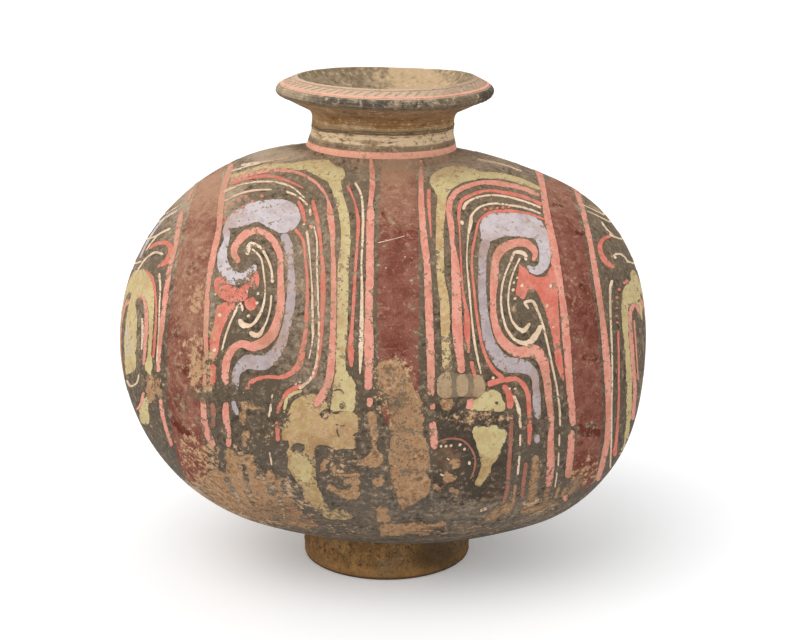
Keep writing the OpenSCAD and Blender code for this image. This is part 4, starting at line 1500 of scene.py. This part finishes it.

# painted ring at the collar's foot, dark lines of painted shade in the turned grooves, and the lip's line and
# faint hatched border
trim = {
    "ringRadius": 41.3, "ringAt": -37.2, "ringWidth": 4.0, "ringTilt": 0.4,    # mm
    "grooves": [                           # height, width, dip on the left
        (-24.8, 0.7, 2.6), (-26.0, 0.6, 2.4), (-9.9, 1.3, 0), (-8.6, 0.6, 0),
    ],
    "grooveUneven": 1.2, "grooveWaves": 4, "grooveRise": 0.3,
    "rimRadius": 54, "lineAt": 57.0, "lineWidth": 1.2, "innerAt": 50.8, "innerWidth": 0.6,
    "hatchCount": 64, "hatchIn": 51.8, "hatchOut": 55.4,
    "hatchSlant": (0, 1.6, 4.4), "hatchWidths": (0.5, 0.8, 0.5), "hatchStep": 0.7,
    "steps": 96, "gap": 2.4, "ragged": 0.14, "lift": 0.16 * mm,
    "ringFrom": 30, "rimFrom": 20, "grooveFrom": 80,           # mm, from where the strokes are cast
}


def outAt(angle):
    return Vector((math.cos(angle), math.sin(angle), 0))


def onCollar(spot):
    angle = spot.x / trim["ringRadius"]
    aim = -(outAt(angle) + Vector((0, 0, 1))).normalized()
    rise = spot.y + trim["ringTilt"] * math.cos(angle)
    target = outAt(angle) * trim["ringRadius"] + Vector((neck["shiftBase"], 0, rise))
    start = neckPlace @ ((target - aim * trim["ringFrom"]) * mm)
    return nearestHit(start, neckTurn @ aim, collarSkin, skin)


def onRim(spot):
    out = outAt(spot.x / trim["rimRadius"]) * spot.y
    start = neckPlace @ ((out + Vector((0, 0, trim["rimFrom"]))) * mm)
    return nearestHit(start, neckTurn @ Vector((0, 0, -1)), rimSkin)


def onNeck(spot):
    out = outAt(spot.x / trim["ringRadius"])
    start = neckPlace @ ((out * trim["grooveFrom"] + Vector((0, 0, spot.y))) * mm)
    return nearestHit(start, neckTurn @ -out, rimSkin, collarSkin)


def ringSheet(bm, radius, at, width, surface, uneven=0.0, dip=0.0):
    steps = trim["steps"]
    points = []
    for i in range(steps + 1):
        turn = math.tau * (i % steps) / steps
        place = outAt(turn) * trim["grooveWaves"]
        sway = noise.noise((place.x, place.y, at)) * uneven
        level = at + sway * trim["grooveRise"] - dip * max(0, -math.cos(turn)) ** 2
        points.append((radius * math.tau * i / steps, level, width * (1 + sway)))
    layOn(brushStroke(bm, points, trim["gap"], trim["ragged"], closed=True), surface, trim["lift"])


def hatchSheet(bm):
    radii = (trim["hatchOut"], (trim["hatchOut"] + trim["hatchIn"]) / 2, trim["hatchIn"])
    for i in range(trim["hatchCount"]):
        start = trim["rimRadius"] * math.tau * i / trim["hatchCount"]
        rows = zip(trim["hatchSlant"], radii, trim["hatchWidths"])
        points = [(start + slant, radius, width) for slant, radius, width in rows]
        layOn(brushStroke(bm, points, trim["hatchStep"], trim["ragged"]), onRim, trim["lift"])


def fromAxis(point):
    return Vector((point.x - neck["at"][0], point.y, 0.02))    # out, and a little up


def upward(point):
    return Vector((0, 0, 1))


def closeTrim(name, bm, material, outward):
    bmesh.ops.remove_doubles(bm, verts=bm.verts[:], dist=5 * weld)
    closeSlab(name, bm, material, "neck_clay", outward)


def makeTrim():
    sheets = defaultdict(newSheet)
    ringSheet(sheets["ring"], trim["ringRadius"], trim["ringAt"], trim["ringWidth"], onCollar)
    closeTrim("collarRing", sheets["ring"], finishes["ring"], fromAxis)
    # each groove gets a dark line: painted shade in the groove, not dark paint
    for at, width, dip in trim["grooves"]:
        ringSheet(sheets["groove"], trim["ringRadius"], at, width, onNeck, trim["grooveUneven"], dip)
    closeTrim("grooveShadeLines", sheets["groove"], finishes["dark"], fromAxis)
    ringSheet(sheets["line"], trim["rimRadius"], trim["lineAt"], trim["lineWidth"], onRim)
    closeTrim("lipLine", sheets["line"], finishes["ring"], upward)
    ringSheet(sheets["hatch"], trim["rimRadius"], trim["innerAt"], trim["innerWidth"], onRim)
    hatchSheet(sheets["hatch"])
    closeTrim("lipHatch", sheets["hatch"], finishes["hatch"], upward)


makeTrim()
print("collar ring and lip border painted")

# plain pale floor, soft daylight from the upper left and a weaker fill from the front
stage = {
    "floorSize": 8.0, "floorCells": 8, "floor": rgb(249, 250, 251), "floorGlow": 0.19,
    "bounce": rgb(226, 226, 226), "skyLight": 0.78,
    "lamps": {
        "softDaylight": {"light": 0.75, "spread": 44, "turn": (32, 0, -36)},           # degrees
        "frontFill": {"light": 0.6, "spread": 80, "turn": (70, 0, -60)},
    },
}


def plainRays(tree):
    seen = put(tree, "ShaderNodeLightPath")
    plain = sums(tree, "MAXIMUM", seen.outputs["Is Camera Ray"], seen.outputs["Is Glossy Ray"])
    return sums(tree, "MAXIMUM", plain, seen.outputs["Is Transmission Ray"])


def floorMaterial():
    material, tree, shader = startMaterial("paleFloor")
    shader.inputs["Base Color"].default_value = stage["bounce"]
    shader.inputs["Specular IOR Level"].default_value = 0.0
    pale = put(tree, "ShaderNodeBsdfDiffuse", {"Color": stage["floor"]})
    glow = put(tree, "ShaderNodeEmission", {"Strength": stage["floorGlow"]})
    white = put(tree, "ShaderNodeAddShader", {0: pale.outputs[0], 1: glow.outputs[0]})
    mixed = put(tree, "ShaderNodeMixShader", {0: plainRays(tree), 1: shader.outputs[0], 2: white.outputs[0]})
    tree.links.new(mixed.outputs[0], tree.nodes["Material Output"].inputs["Surface"])
    return material


def makeFloor():
    bm = bmesh.new()
    cells = stage["floorCells"]
    bmesh.ops.create_grid(bm, x_segments=cells, y_segments=cells, size=stage["floorSize"])
    mesh = bpy.data.meshes.new("paleFloor")
    bm.to_mesh(mesh)
    bm.free()
    floor = bpy.data.objects.new("paleFloor", mesh)
    scene.collection.objects.link(floor)
    mesh.materials.append(floorMaterial())


def hangLamps():
    for name, lamp in stage["lamps"].items():
        sun = bpy.data.lights.new(name, "SUN")
        sun.energy = lamp["light"]
        sun.angle = math.radians(lamp["spread"])
        holder = bpy.data.objects.new(name, sun)
        holder.rotation_euler = [math.radians(angle) for angle in lamp["turn"]]
        scene.collection.objects.link(holder)


def makeSky():
    world = bpy.data.worlds.new("studioSky")
    world.use_nodes = True
    tree = world.node_tree
    back = tree.nodes["Background"]
    back.inputs["Color"].default_value = (1, 1, 1, 1)
    tree.links.new(sums(tree, "MAXIMUM", plainRays(tree), stage["skyLight"]), back.inputs["Strength"])
    scene.world = world


makeFloor()
hangLamps()
makeSky()
print("stage set")
